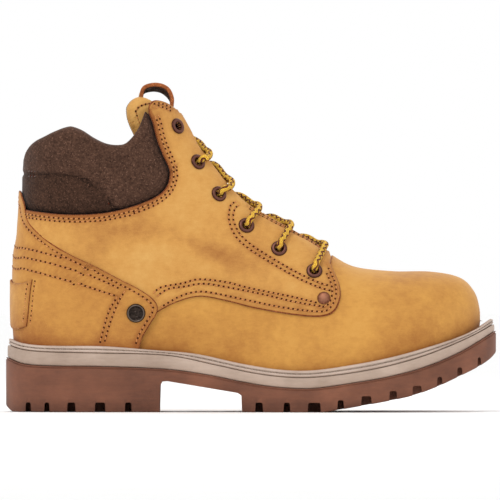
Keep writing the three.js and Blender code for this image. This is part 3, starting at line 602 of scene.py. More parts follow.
class Sheet:
    """How a panel is laid flat: 'side' for one side, 'ridge' across the instep, 'back' round the heel."""

    def __init__(self, kind, side=LATERAL):
        self.kind, self.side = kind, side

    def open(self, flat):
        """Flat points (a, w) to side, u and v."""
        a, w = np.asarray(flat, float).T
        toe = np.where(a < 1, np.maximum(a, 0) ** 2.2, a)
        u = np.where((a > HEEL_CORNER - 1) & (a < HEEL_CORNER),
                     HEEL_CORNER - np.maximum(HEEL_CORNER - a, 0) ** 2.2, toe)
        if self.kind == "side":
            return np.full(len(a), self.side), u, clamp01(w)
        side = np.where(w < 0, LATERAL, MEDIAL)
        v = 1 - np.abs(w) if self.kind == "ridge" else np.abs(w)
        return side, u, clamp01(v)

    def flat(self, uv, side=None):
        """u and v on one side to flat points."""
        u, v = np.asarray(uv, float).T
        a = np.where(u < 1, np.maximum(u, 0) ** (1 / 2.2), u)
        a = np.where((u > HEEL_CORNER - 1) & (u < HEEL_CORNER),
                     HEEL_CORNER - np.maximum(HEEL_CORNER - u, 0) ** (1 / 2.2), a)
        side = self.side if side is None else side
        if self.kind == "side":
            return np.stack([a, v], 1)
        return np.stack([a, side * (1 - v if self.kind == "ridge" else v)], 1)

    def base(self, flat):
        return surface(*self.open(flat))

    def jacobian(self, flat):
        ha, hw = 0.02, 0.004
        step = lambda da, dw: self.base(np.asarray(flat) + [da, dw])
        return (step(ha, 0) - step(-ha, 0)) / (2 * ha), (step(0, hw) - step(0, -hw)) / (2 * hw)

    def shift(self, flat, distance):
        """Points of a closed anticlockwise flat line moved inward by a distance in millimetres."""
        ja, jw = self.jacobian(flat)
        along = np.roll(flat, -1, axis=0) - np.roll(flat, 1, axis=0)
        tangent = ja * along[:, :1] + jw * along[:, 1:]
        normal = np.cross(ja, jw)
        inward = np.cross(normal, tangent)
        inward *= distance / np.maximum(np.linalg.norm(inward, axis=1), 1e-9)[:, None]
        aa, ww, aw = (ja * ja).sum(1), (jw * jw).sum(1), (ja * jw).sum(1)
        ba, bw = (ja * inward).sum(1), (jw * inward).sum(1)
        det = np.maximum(aa * ww - aw * aw, 1e-9)
        return flat + np.stack([(ba * ww - bw * aw) / det, (bw * aa - ba * aw) / det], 1)


def area(polygon):
    x, y = polygon.T
    return 0.5 * np.sum(x * np.roll(y, -1) - y * np.roll(x, -1))


GRID_CLEARANCE = 0.868  # least distance of a grid point to the edge, rings and creases


def mesh_panel(sheet, outline, da, dw, rings, creases):
    """Triangulates a flat outline, with rings of points near its edge and points along its creases."""
    if area(outline) < 0:
        outline = outline[::-1]
    scale = np.array([1 / da, 1 / dw])
    solid = sheet.base(outline)
    extra = []
    for distance in rings:
        loop = sheet.shift(outline, distance)
        keep = inside(loop * scale, outline * scale)
        keep &= nearest(sheet.base(loop), solid) > 0.8 * distance
        extra.append(loop[keep])
    for line in creases:
        keep = inside(line * scale, outline * scale)
        if keep.any():
            extra.append(line[keep][nearest(sheet.base(line[keep]), solid) > 0.7])
    low, high = outline.min(0), outline.max(0)
    ga, gw = np.meshgrid(np.arange(low[0], high[0], da), np.arange(low[1], high[1], dw))
    grid = np.stack([ga.ravel(), gw.ravel()], 1)
    grid[::2, 0] += 1e-4
    grid = grid[inside(grid * scale, outline * scale)]
    placed = np.vstack([outline] + extra)
    grid = grid[nearest(sheet.base(grid), sheet.base(placed)) > GRID_CLEARANCE]
    flat = np.vstack([placed, grid])
    n = len(outline)
    edges = [(i, (i + 1) % n) for i in range(n)]
    points, _, faces, *_ = delaunay_2d_cdt([Vector(p * scale) for p in flat], edges, [], 1, 1e-5, False)
    flat = np.array([tuple(p) for p in points])
    faces = np.array([f for f in faces if len(f) == 3], int)
    faces = faces[inside(flat[faces].mean(1), outline * scale)]
    return flat / scale, faces


MERGE = 0.004  # points nearer than about this are one


def weld(points, faces):
    """Merges points that coincide, as on the toe and heel lines: the points to keep, and the faces."""
    key = np.round(points / MERGE).astype(np.int64)
    _, first, where = np.unique(key, axis=0, return_index=True, return_inverse=True)
    where = where.ravel()
    faces = where[faces]
    good = (faces[:, 0] != faces[:, 1]) & (faces[:, 1] != faces[:, 2]) & (faces[:, 2] != faces[:, 0])
    return first, faces[good]


def rim_edges(faces):
    """Directed edges that belong to one face only."""
    seen = {}
    for a, b, c in faces:
        for p, q in ((a, b), (b, c), (c, a)):
            if (q, p) in seen:
                del seen[(q, p)]
            else:
                seen[(p, q)] = True
    return list(seen)


def laid_panel(sheet, outline, da, dw, rings, creases):
    """A panel on the base surface: points, faces turned outward, normals, distance to edge, v."""
    flat, faces = mesh_panel(sheet, outline, da, dw, rings, creases)
    base = sheet.base(flat)
    keep, faces = weld(base, faces)
    flat, base = flat[keep], base[keep]
    side, u, v = sheet.open(flat)
    normal = normal_at(side, u, v)
    a, b, c = base[faces].transpose(1, 0, 2)
    inward = (np.cross(b - a, c - a) * normal[faces].mean(1)).sum(1) < 0
    faces[inward] = faces[inward][:, ::-1]
    return base, faces, normal, nearest(base, sheet.base(outline)), v


def renumbered(used, count):
    """New number of each point when only the used ones are kept."""
    index = -np.ones(count, int)
    index[used] = np.arange(len(used))
    return index


def leather(name, sheet, outline, depth, materials, rows=(), roll=0.8, roll_width=1.0, edge_band=0.0,
            lift=None, shade=None, da=0.13, dw=0.03, holes=(), **settings):
    """A sewn panel: rolled cut edge, grooves where it is stitched, an inner face and cut walls."""
    creases = []
    for row in rows:
        creases += [row, row + [0, 0.004], row - [0, 0.004]]
    base, faces, normal, edge, v = laid_panel(sheet, outline, da, dw, (0.3, 0.65, 1.1, 2.2), creases)
    for centre, radius in holes:
        away = np.linalg.norm(base[faces].mean(1) - centre, axis=1)
        faces = faces[away > radius]
    outer = np.full(len(base), depth[1], float)
    if lift is not None:
        outer = outer + lift(base)
    outer -= roll * np.maximum(1 - edge / roll_width, 0) ** 2
    # Painted shade and burnish: darker towards the rolled cut edge, partly burnished leather and partly
    # painted shade; painted shade in the stitched grooves.
    tint = 0.5 - 0.28 * np.exp(-edge / 2.2)
    for row in rows:
        away = nearest(base, sheet.base(row))
        outer -= 0.32 * np.exp(-(away / 0.75) ** 2)
        tint -= 0.16 * np.exp(-(away / 1.6) ** 2)
    outer += 0.12 * fuzz(base, 9, 2)
    if shade is not None:
        tint += shade(base)
    used = np.unique(faces)
    faces = renumbered(used, len(base))[faces]
    base, normal, outer, tint, edge, v = (q[used] for q in (base, normal, outer, tint, edge, v))
    n = len(base)
    top = base + normal * outer[:, None]
    bottom = base + normal * depth[0]
    rim = rim_edges(faces)
    walls = [(q, p, n + p, n + q) for p, q in rim]
    band = ((edge[faces].max(1) < edge_band) & (v[faces].max(1) > 0.05)).astype(int)
    kinds = list(band) + [1] * (len(walls) + len(faces))
    all_faces = [tuple(f) for f in faces] + walls + [tuple(n + i for i in f[::-1]) for f in faces]
    return make(name, np.vstack([top, bottom]), all_faces, materials, kinds,
                tint=np.r_[tint, tint], **settings)


def cushion(name, sheet, outline, outer, thickness, materials, radius, rows, da, dw, shade, **settings):
    """A padded panel: full in its middle, closed round its rim."""
    base, faces, normal, edge, _ = laid_panel(sheet, outline, da, dw, (0.25, 0.8, 1.7, 3.0, 4.5), rows)
    full = np.sqrt(np.maximum(1 - (1 - clamp01(edge / radius)) ** 2, 0))
    half = thickness(base) / 2
    middle = outer(base) - half
    top = middle + half * full
    for row in rows:
        away = nearest(base, sheet.base(row))
        top -= 0.7 * np.exp(-(away / 1.1) ** 2)
    top += 0.2 * fuzz(base, 8, 5) * full
    low = middle - half * full + 0.3 * fuzz(base, 10, 9) * full
    n = len(base)
    rim = sorted({i for pair in rim_edges(faces) for i in pair})
    lower = np.arange(n, 2 * n)
    lower[rim] = rim
    verts = np.vstack([base + normal * top[:, None], base + normal * low[:, None]])
    all_faces = [tuple(f) for f in faces] + [tuple(lower[f[::-1]]) for f in faces]
    kinds = [0] * len(faces) + [1] * len(faces)
    # Painted shade: darker where the padding rolls under at its rim.
    tint = 0.5 - 0.2 * np.exp(-edge / 2.5) + shade(base)
    keep = np.unique(np.concatenate([np.array(f) for f in all_faces]))
    index = renumbered(keep, 2 * n)
    return make(name, verts[keep], [tuple(index[list(f)]) for f in all_faces], materials, kinds,
                tint=np.r_[tint, tint][keep], angle=70, **settings)


# ---------- side-view lines of the panels, back to front ----------
collar_edge = catmull([(10.2, 125.8), (21.1, 123.9), (35.9, 122.4), (51.7, 122.4), (65.6, 123.9),
                       (80.4, 127.8), (93.3, 133.3), (99.8, 139.5), (101.8, 146.5), (101, 151.5),
                       (97.3, 159.6), (93.8, 168.5), (91.3, 178.4), (88.6, 185.3)], 1.2)
collar_top = catmull([(11.2, 160), (14.9, 166.8), (22.4, 170.8), (29.8, 174), (37.3, 176.3),
                      (41.5, 176.2), (48.5, 173.6), (55.9, 168.9), (63.4, 165.7), (70.8, 165.1),
                      (76, 166.9), (82.4, 174.6), (87.6, 185.8)], 1.2)
collar_seam = catmull([(8, 147.9), (11, 147.7), (26, 147.4), (42.5, 146), (53, 142.4), (59.8, 136.8),
                       (65.2, 129.8), (70, 123.6)], 1.0)
eyestay_top = catmull([(88.6, 185.3), (88.9, 190), (91.5, 192.7), (95, 192.7), (99.3, 191.3),
                       (103.2, 189.2)], 1.2)
quarter_edge = catmull([(93.8, 61.5), (105.2, 67.5), (120.1, 71.4), (136.6, 68.8), (150.9, 65.2),
                        (165.1, 62.4), (179.4, 60.3), (194, 59.4), (203, 62.4), (207.3, 70.9),
                        (207, 79.5), (203.6, 88.1), (201.5, 92.9)], 1.2)
counter_edge = catmull([(8.7, 136.8), (11.3, 127.9), (13.3, 119), (19.1, 112), (29, 104.1), (40.8, 97.2),
                        (55.7, 90.2), (70.6, 82.3), (82.4, 76.3), (90.4, 70.9), (93.9, 66.5), (94, 61.5),
                        (89.4, 53.6), (85.4, 46.7), (83.4, 40.7), (83, 37.2)], 1.2)
under_counter = catmull([(10.3, 125.4), (11.6, 116), (17, 106), (28, 98), (44, 89), (62, 80), (80, 70),
                         (88, 62.5), (93.8, 61.5)], 1.6)
vamp_edge = catmull([(71, 38), (75, 50), (84, 62), (100, 73), (120, 77), (150, 72), (172, 66), (186, 67),
                     (196, 76), (200, 86), (202, 93)], 1.6)
tongue_edge = catmull([(206, 82), (186, 81), (164, 89), (142, 99), (118, 118), (96, 143), (84, 163),
                       (76.6, 178), (75, 186), (75.9, 190.2), (79.2, 193.8), (83, 195.2), (86.6, 194.2),
                       (89.2, 192.3)], 1.6)


def aim(side, points, depth=0.0):
    """u and v whose layer point, at a depth, is seen from the side at the given points."""
    points = np.asarray(points, float)
    guess = points.copy()
    for _ in range(5):
        u, v = locate(guess).T
        level = depth(surface(side, u, v)) if callable(depth) else depth
        seen = layer_point(side, u, v, level)[:, [0, 2]]
        guess = points + np.clip(guess + 0.8 * (points - seen) - points, -9, 9)
    return locate(guess)


def on(side, line, depth=0.0):
    """A side-view line on one side, as flat points of that side's sheet."""
    return Sheet("side", side).flat(aim(side, line, depth))


RAY_STEP = 0.12


def eyestay_front(side, first, last, distance=LACE_HALF_GAP):
    """The edge beside the laces, as u and v from one ray to another."""
    u = np.linspace(first, last, max(int(abs(last - first) / RAY_STEP), 2))
    return np.stack([u, v_at_offset(side, u, distance)], 1)


THROAT_U = float(locate([(201.5, 92.9)])[0, 0])
TOP_U = float(locate([(103.2, 189.2)])[0, 0])


def rounded(first, second):
    """Joins two flat lines that meet at a corner, with the corner rounded off."""
    back, ahead = 9, 5
    t = np.linspace(0, 1, 9)[:, None]
    arc = (1 - t) ** 2 * first[-back] + 2 * t * (1 - t) * second[0] + t ** 2 * second[ahead]
    return np.vstack([first[:-back], arc, second[ahead + 1:]])


def lower_shade(base):
    """Painted shade: darker, more orange leather low down and round the heel and toe, and in two soft
    patches below the collar; with a little random tone.
    """
    height = base[:, 2] - bead_top(base[:, 0])
    shade_near_sole = mix(-0.36, -0.2, smooth(70, 110, base[:, 0])) * np.exp(-np.maximum(height, 0) / 11)
    along, up = base[:, 0] - 128, base[:, 2] - 99 + 0.38 * (base[:, 0] - 128)
    fold_shade = -0.34 * np.exp(-(along / 20) ** 2 - (up / 6) ** 2)
    fold_shade -= 0.3 * np.exp(-((base[:, 0] - 80) / 24) ** 2 - ((base[:, 2] - 112) / 9) ** 2)
    return shade_near_sole + fold_shade + 0.1 * fuzz(base, 26, 3)


def flex_creases(base):
    """Shallow folds where the ankle bends."""
    x, z = base[:, 0], base[:, 2]
    ridge = np.cos((z - 96 + 0.24 * (x - 120)) / 5.2 + 0.5 * fuzz(base, 30, 4))
    return 0.34 * ridge * np.exp(-((x - 112) / 34) ** 2 - ((z - 100) / 13) ** 2)


# ---------- stitches ----------
def spaced(sheet, row, pitch):
    """Flat points spread evenly along a row, by their real distance."""
    steps = lengths(sheet.base(row))
    return pick(row, steps, np.arange(0, steps[-1], pitch))


def capsule():
    """A stitch of unit length along X, its points and faces."""
    segments = 8
    verts, faces = [], []
    stations = [(-0.5, 0.0), (-0.42, 0.72), (-0.2, 1.0), (0.2, 1.0), (0.42, 0.72), (0.5, 0.0)]
    for x, r in stations:
        for k in range(segments):
            turn = 2 * math.pi * k / segments
            verts.append((x, r * math.cos(turn), r * math.sin(turn)))
    for i in range(len(stations) - 1):
        for k in range(segments):
            a, b = i * segments + k, i * segments + (k + 1) % segments
            faces.append((a, b, b + segments, a + segments))
    return np.array(verts), np.array(faces)


CAPSULE = capsule()


def stitches(name, rows, depth, material=THREAD, width=0.42, body="boot", slot="nubuck"):
    """Rows of sewn thread: a stitch, then a dark mark of painted shade for the needle hole at its end."""
    verts, faces, kinds = [], [], []
    shape, quads = CAPSULE
    for sheet, row in rows:
        flat = spaced(sheet, row, STITCH_PITCH)
        if len(flat) < 2:
            continue
        side, u, v = sheet.open((flat[1:] + flat[:-1]) / 2)
        level = depth(surface(side, u, v)) if callable(depth) else depth
        centre = layer_point(side, u, v, level - STITCH_SINK)
        normal = normal_at(side, u, v)
        ends = sheet.base(flat)
        along = ends[1:] - ends[:-1]
        along -= normal * (along * normal).sum(1)[:, None]
        along /= np.linalg.norm(along, axis=1)[:, None]
        across = np.cross(normal, along)
        along = along + STITCH_SLANT * across
        hole = centre + along * (STITCH_PITCH / 2)
        for c, t, s, n in zip(centre, along, across, normal):
            size = 1 + 0.06 * rng.standard_normal()
            start = len(verts)
            verts += list(c + shape[:, :1] * t * STITCH_PITCH * 0.74 * size + shape[:, 1:2] * s * width
                          + (shape[:, 2:] * 0.34 + 0.1 * (1 - 4 * shape[:, :1] ** 2)) * n)
            faces += [tuple(start + q) for q in quads]
            kinds += [0] * len(quads)
        # Painted shade: a dark mark for the needle hole at each stitch's end.
        for c, t, s, n in zip(hole, along, across, normal):
            start = len(verts)
            verts += list(c + shape[:, :1] * t * 1.3 + shape[:, 1:2] * s * 0.6 + shape[:, 2:] * n * 0.16
                          + n * 0.05)
            faces += [tuple(start + q) for q in quads]
            kinds += [1] * len(quads)
    return make(name, np.array(verts), faces, [material, HOLE_SHADE], kinds, body=body, slot=slot)


ROW_A = [(91.4, 73.4), (97.3, 77.3), (109.5, 79.5), (120.2, 82), (136.6, 80.3), (150.9, 76.7),
         (165.1, 73.8), (179.4, 70.9), (193.7, 67.4)]
ROW_B = [(93.5, 71.4), (101, 76), (110.2, 77.4), (122.4, 79.3), (136.6, 77.3), (158, 73.1), (179.4, 68.1),
         (197.2, 65.2)]
ROW_C = [(95.7, 64.3), (108.1, 71.4), (118.8, 74.3), (129.5, 73.4), (150.9, 68.9), (172.3, 64.6),
         (193.7, 62.2), (200.6, 64), (204.6, 70.9), (204.6, 79), (201.5, 87), (199, 91)]
ROW_C2 = [(193.7, 64.7), (199.4, 66.2), (202.2, 71.5), (202.2, 78.6), (199.2, 86)]
ROW_D = [(143.7, 130.5), (139.8, 128.7), (138.4, 123), (138.4, 118.7), (140.2, 113.1), (143.7, 107.3),
         (150.9, 100.9), (160.9, 94.5), (172.3, 87.7), (182.9, 82), (193.7, 77.4), (201, 75.2)]
ROW_D2 = [(145.2, 128.5), (142.3, 126.4), (141, 122), (141.2, 118.4), (143, 113.8), (146.2, 109),
          (152.6, 103.2), (162.2, 96.9), (173.5, 90.2), (184, 84.6), (194.4, 80), (200.6, 78.2)]
COUNTER_ROWS = [
    [(9.5, 101.6), (17.1, 100.1), (29, 97), (36, 95)],
    [(11, 95.7), (29, 91.7), (48.8, 85.8), (62, 80.4), (72, 75.6)],
    [(10, 88.9), (24, 85.3), (43.8, 79.8), (60.6, 74.3), (70, 71.2)],
    [(69.6, 71.9), (64.6, 63.5), (61.6, 54.6), (58.6, 43)],
    [(74.5, 75.3), (70.6, 69.5), (65.6, 57.5), (61.2, 43)]]


def at_back(height):
    """The side-view point on the back seam at a height."""
    return heel_back(height), height


def back_u(height):
    return locate([at_back(height)])[0, 0]


COUNTER_TIP = 137.2  # height of the counter's point on the back seam
ROW_LIFT = 1.8  # the counter's rows meet the back seam this far above where they start


def round_the_back(row, height):
    """Carries a row on to the back seam, at a height."""
    return np.vstack([np.linspace((back_u(height), 0), row[0], 14, endpoint=False), row])


def low_edge(sheet, first, last, count=40, v=0.0):
    """Flat points along the featherline or up the back seam, from one u to another."""
    return sheet.flat(np.stack([np.linspace(first, last, count), np.full(count, v)], 1))


def counter_depth(base):
    """Outer face of the counter, which lies closer in up the back."""
    return DEPTH["counter"][1] - 1.5 * smooth(95, 110, base[:, 2])


def collar_rows():
    edge = collar_edge[::-1]
    return [beside(edge, d)[3:-1] for d in (2.2, 4.1)]


# ---------- leather upper ----------
def vamp():
    sheet = Sheet("ridge")
    throat = np.stack([np.full(9, THROAT_U), np.linspace(locate(vamp_edge[-1:])[0, 1], 1, 9)], 1)
    half = np.vstack([sheet.flat(locate(vamp_edge), LATERAL), sheet.flat(throat, LATERAL)])
    to_toe = np.r_[np.arange(half[0, 0], 0, -0.12), 0]
    rim = np.stack([to_toe, np.ones(len(to_toe))], 1)
    toe = np.stack([np.zeros(41), np.linspace(1, -1, 41)], 1)
    outline = np.vstack([half, (half[::-1] * [1, -1])[1:], rim[1:], toe[1:],
                         (rim * [1, -1])[::-1][1:-1]])
    leather("vamp_leather", sheet, outline, DEPTH["middle"], [NUBUCK_TOE, RAW_EDGE], da=0.11, dw=0.025,
            shade=lambda p: lower_shade(p) - 0.04, replaces=["vamp"], slot="nubuck", roll=0.2,
            roll_width=0.5)


def quarter(side, label):
    """One side of the boot, holed for its eyelets; gives back its rows of thread."""
    sheet = Sheet("side", side)
    face = DEPTH["quarter"][1]
    front = sheet.flat(eyestay_front(side, THROAT_U, TOP_U))
    outline = np.vstack([
        on(side, quarter_edge, depth=face), rounded(front[1:], on(side, eyestay_top[::-1])),
        on(side, collar_edge[::-1])[1:-1], on(side, under_counter)[:-1]])
    sewn = [on(side, catmull(r, 1.0), depth=face) for r in (ROW_A, ROW_B, ROW_C, ROW_C2, ROW_D, ROW_D2)]
    sewn += [on(side, r) for r in collar_rows()]
    sewn += [on(side, beside(eyestay_top, -d)[2:]) for d in (2.0, 3.8)]
    sewn += [sheet.flat(eyestay_front(side, THROAT_U + 0.5, THROAT_U + 3.1, d)) for d in (16.2, 18.0)]
    holes = [(surface(side, *aim(side, [p], EYELET_HEIGHT).T)[0], EYELET_HOLE) for p in EYELETS]
    collar_line = sheet.base(on(side, collar_edge))
    leather(f"quarter_{label}_leather", sheet, outline, DEPTH["quarter"], [NUBUCK, RAW_EDGE], rows=sewn,
            roll=0.9, roll_width=1.2, edge_band=0.8, lift=flex_creases, da=0.11, dw=0.022, holes=holes,
            shade=lambda p: lower_shade(p) - 0.5 * np.exp(-(nearest(p, collar_line) / 1.6) ** 4),
            replaces=[f"quarter_{label}"], slot="nubuck")
    return [(sheet, r) for r in sewn]


def counter(side, label):
    """The stitched overlay on one side of the heel, with its thread."""
    sheet = Sheet("side", side)
    edge = aim(side, counter_edge, counter_depth)
    outline = np.vstack([sheet.flat(edge), low_edge(sheet, edge[-1, 0], HEEL_CORNER)[1:],
                         low_edge(sheet, HEEL_CORNER, back_u(COUNTER_TIP))[1:]])
    sewn = [on(side, catmull(r, 1.0), depth=counter_depth) for r in COUNTER_ROWS]
    sewn[:3] = [round_the_back(r, line[0][1] + ROW_LIFT) for r, line in zip(sewn, COUNTER_ROWS[:3])]
    sewn.append(on(side, beside(counter_edge, -2.9)[2:-4], depth=counter_depth))
    leather(f"counter_{label}_leather", sheet, outline, DEPTH["counter"], [NUBUCK_DARK, RAW_EDGE],
            rows=sewn, roll=0.8, roll_width=1.0, edge_band=0.9, shade=lower_shade, da=0.11, dw=0.022,
            lift=lambda p: counter_depth(p) - DEPTH["counter"][1],
            replaces=[f"counter_{label}"], slot="nubuck_dark")
    stitches(f"counter_{label}_stitches", [(sheet, r) for r in sewn], counter_depth, slot="nubuck_dark")


def upper():
    vamp()
    rows = []
    for side, label in SIDES:
        rows += quarter(side, label)
        counter(side, label)
    stitches("quarter_stitches", rows, lambda p: DEPTH["quarter"][1] + flex_creases(p))


def heel_patch():
    sheet = Sheet("back")
    face = DEPTH["heel_patch"][1]
    bottom, top = 53, 82
    side_line = catmull([(12.4, bottom), (13.4, 61), (14.8, 75), (16, top)], 1.2)
    lateral = sheet.flat(aim(LATERAL, side_line, face), LATERAL)
    outline = np.vstack([lateral, [(back_u(top), -0.01), (back_u(top), 0.01)],
                         (lateral * [1, -1])[::-1], [(back_u(bottom), 0.01), (back_u(bottom), -0.01)]])
    outline = np.vstack([np.linspace(p, q, 8, endpoint=False)
                         for p, q in zip(outline, np.roll(outline, -1, axis=0))])
    leather("heel_patch_leather", sheet, outline, DEPTH["heel_patch"], [NUBUCK, RAW_EDGE], roll=0.6,
            shade=lambda p: np.full(len(p), -0.1), da=0.05, dw=0.012, replaces=["heel_patch"],
            slot="nubuck")

    def both_sides(points, depth):
        return [(sheet, sheet.flat(aim(side, catmull(points, 1.0), depth), side))
                for side in (LATERAL, MEDIAL)]

    on_patch = both_sides([(10.8, 54.8), (11.6, 61), (13, 75), (14.1, 80.4)], face)
    stitches("heel_patch_stitches", on_patch, face, slot="nubuck")
    face = DEPTH["counter"][1]
    beside_patch = both_sides([(15.2, 53.5), (16.2, 61), (17.6, 75), (18.7, 82)], face)
    stitches("backstay_stitches", beside_patch, face, slot="nubuck_dark")


# ---------- padded collar ----------
def inner_depth(x):
    return mix(-10.4, -5.4, smooth(56, 80, x))


SEAM_HEIGHT = 147.7  # of the seam between the collar's panels, at the back


def collar():
    """One padded band round the ankle: suede outside and over the top, knitted lining inside."""
    columns, up, round_top, down = 92, 34, 14, 16
    spread = 1 - (1 - np.linspace(0, 1, columns)) ** 1.15
    bottom, top = (pick(resample(line, 400), np.linspace(0, 1, 400), spread)
                   for line in (collar_edge, collar_top))
    bottom[0], top[0] = at_back(collar_edge[0, 1]), at_back(collar_top[0, 1])
    verts, tints, kinds_of = [], [], []
    for c in range(-(columns - 1), columns):
        side = LATERAL if c < 0 else MEDIAL
        low, high = bottom[abs(c)], top[abs(c)]
        span = max(np.linalg.norm(high - low), 0.5)
        r = min(4.6, 0.42 * span)
        t = np.linspace(0, 1, up)
        path = [(mix(low, high, k * (1 - r / span)), 0.0) for k in t]
        turns = np.linspace(0, math.pi, round_top + 2)[1:-1]
        path += [(mix(high, low, r / span * (1 - math.sin(q))), q) for q in turns]
        path += [(mix(high, low, r / span + k * (1 - r / span)), math.pi) for k in np.linspace(0, 1, down)]
        points = np.array([p for p, _ in path])
        angle = np.array([q for _, q in path])
        uv = locate(points)
        if c == 0:
            uv[:, 1] = 0
        edge = nearest(points, collar_edge)
        fade = 1 - np.exp(-edge / 4.5)
        crease = np.exp(-(nearest(points, collar_seam) / 1.5) ** 2)
        swell = mix(1.9, 3.9, smooth(0.0, 0.3, uv[:, 1]))
        outer = -1.6 + swell * fade - 1.1 * crease * (angle == 0)
        inner = mix(-3.4, inner_depth(points[:, 0]), 1 - np.exp(-edge / 6))
        half, middle = (outer - inner) / 2, (outer + inner) / 2
        depth = middle + half * np.cos(angle)
        base = surface(side, *uv.T)
        depth += (0.35 * fuzz(base, 11, 6) + 0.2 * fuzz(base, 4.5, 8)) * fade
        verts.append(layer_point(side, *uv.T, depth))
        # Painted shade and light: darker low by the quarter and in the seam's crease, lighter over the top
        # of the roll.
        tints.append(0.5 - 0.2 * np.exp(-edge / 2.5) - 0.2 * crease + 0.1 * np.sin(angle))
        seam_x = np.interp(points[:, 1], collar_seam[::-1, 1], collar_seam[::-1, 0])
        rear = (points[:, 0] < seam_x) & (points[:, 1] < SEAM_HEIGHT)
        kinds_of.append(np.where(angle > 2.4, 2, np.where(rear, 1, 0)))
    ring = len(verts[0])
    verts, tints, kinds_of = np.vstack(verts), np.concatenate(tints), np.array(kinds_of)
    faces, kinds = [], []
    for i in range(2 * columns - 2):
        for j in range(ring):
            k = (j + 1) % ring
            faces.append((i * ring + j, (i + 1) * ring + j, (i + 1) * ring + k, i * ring + k))
            kinds.append(max(kinds_of[i, j], kinds_of[i, k]) if j < ring - 1 else 2)
    faces.append(tuple(range(ring)))
    faces.append(tuple(range(len(verts) - ring, len(verts)))[::-1])
    kinds += [2, 2]
    band = make("collar_padding", verts, [f[::-1] for f in faces], [SUEDE, SUEDE_LOW, LINING], kinds,
                tint=tints, angle=80, replaces=["collar_lateral", "collar_medial", "collar_rear",
                                                "collar_foam", "collar_lining"], slot="suede")
    settle(band, 2.0 * MM)
    rows = [(Sheet("side", side), on(side, beside(collar_seam, away)[9:-8]))
            for side in (LATERAL, MEDIAL) for away in (1.6, -1.6)]
    stitches("collar_seam_stitches", rows, 0.9, THREAD_DARK, width=0.34, slot="suede")


CLOTH_FRAMES = 12


def settle(obj, cap):
    """Fills a padded piece out by cloth pressure: half of what each point moves, up to cap metres."""
    rest = np.zeros(len(obj.data.vertices) * 3)
    obj.data.vertices.foreach_get("co", rest)
    rest = rest.reshape(-1, 3)
    copy = obj.copy()
    copy.data = obj.data.copy()
    copy.parent = None
    bpy.context.scene.collection.objects.link(copy)
    cloth = copy.modifiers.new("fill", "CLOTH")
    for key, value in (("quality", 6), ("mass", 0.15), ("tension_stiffness", 30),
                       ("compression_stiffness", 30), ("bending_stiffness", 1.5),
                       ("use_pressure", True), ("uniform_pressure_force", 3.0)):
        setattr(cloth.settings, key, value)
    cloth.settings.effector_weights.gravity = 0
    cloth.point_cache.frame_start, cloth.point_cache.frame_end = 1, CLOTH_FRAMES
    for number in range(1, CLOTH_FRAMES + 1):
        bpy.context.scene.frame_set(number)
    graph = bpy.context.evaluated_depsgraph_get()
    moved = np.zeros(rest.size)
    copy.evaluated_get(graph).data.vertices.foreach_get("co", moved)
    step = np.nan_to_num(moved.reshape(-1, 3) - rest)
    length = np.maximum(np.linalg.norm(step, axis=1), 1e-9)
    step *= (np.minimum(length, cap) / length)[:, None]
    obj.data.vertices.foreach_set("co", (rest + 0.5 * step).ravel())
    obj.data.update()
    bpy.data.objects.remove(copy)
    bpy.context.scene.frame_set(1)


# ---------- tongue ----------
def tongue_depth(p):
    x, z = p[:, 0], p[:, 2]
    under = mix(-8.8, -5.9, smooth(182, 190, z))
    by_collar = mix(-13, under, smooth(78, 102, x))
    return mix(by_collar, -6, smooth(198, 206, x))


TOP_DROP = 0.45  # how far the tongue's top edge comes forward in its middle, in u


def tongue():
    sheet = Sheet("ridge")
    thickness = lambda p: 1.6 + mix(7.4, 12.5, smooth(165, 190, p[:, 2])) * 0.92
    middle = lambda p: (tongue_depth(p) - thickness(p) / 2) * smooth(120, 165, p[:, 2])
    edge = sheet.flat(aim(LATERAL, tongue_edge, middle), LATERAL)
    end_u = edge[-1, 0]
    top = np.stack([end_u - TOP_DROP * smooth(0, 1, np.linspace(0, 1, 9)), np.linspace(edge[-1, 1], 0, 9)],
                   1)[1:]
    low_v = 1 - abs(edge[0, 1])
    foot = np.stack([np.full(8, edge[0, 0]), np.linspace(0, low_v - 1, 8)], 1)[:-1]
    lateral = np.vstack([foot, edge, top])
    outline = np.vstack([lateral, (lateral * [1, -1])[::-1][1:-1]])
    line = catmull([(96, 190.6), (88.6, 191.2), (83.2, 189.2), (81, 186.6), (81.9, 183.1), (83.6, 178.6),
                    (87, 170)], 1.0)
    rows = [sheet.flat(aim(side, line, tongue_depth), side) for side in (LATERAL, MEDIAL)]
    pad = cushion("tongue_padding", sheet, outline, tongue_depth, thickness, [NUBUCK, LINING],
                  radius=6.0, rows=rows, da=0.11, dw=0.03, shade=lambda p: 0.22 + 0.05 * fuzz(p, 20, 1),
                  body="tongue", replaces=["tongue", "tongue_pad", "tongue_lining"], slot="nubuck")
    settle(pad, 1.2 * MM)
    stitches("tongue_stitches", [(sheet, r) for r in rows], lambda p: tongue_depth(p) - 0.6, body="tongue")


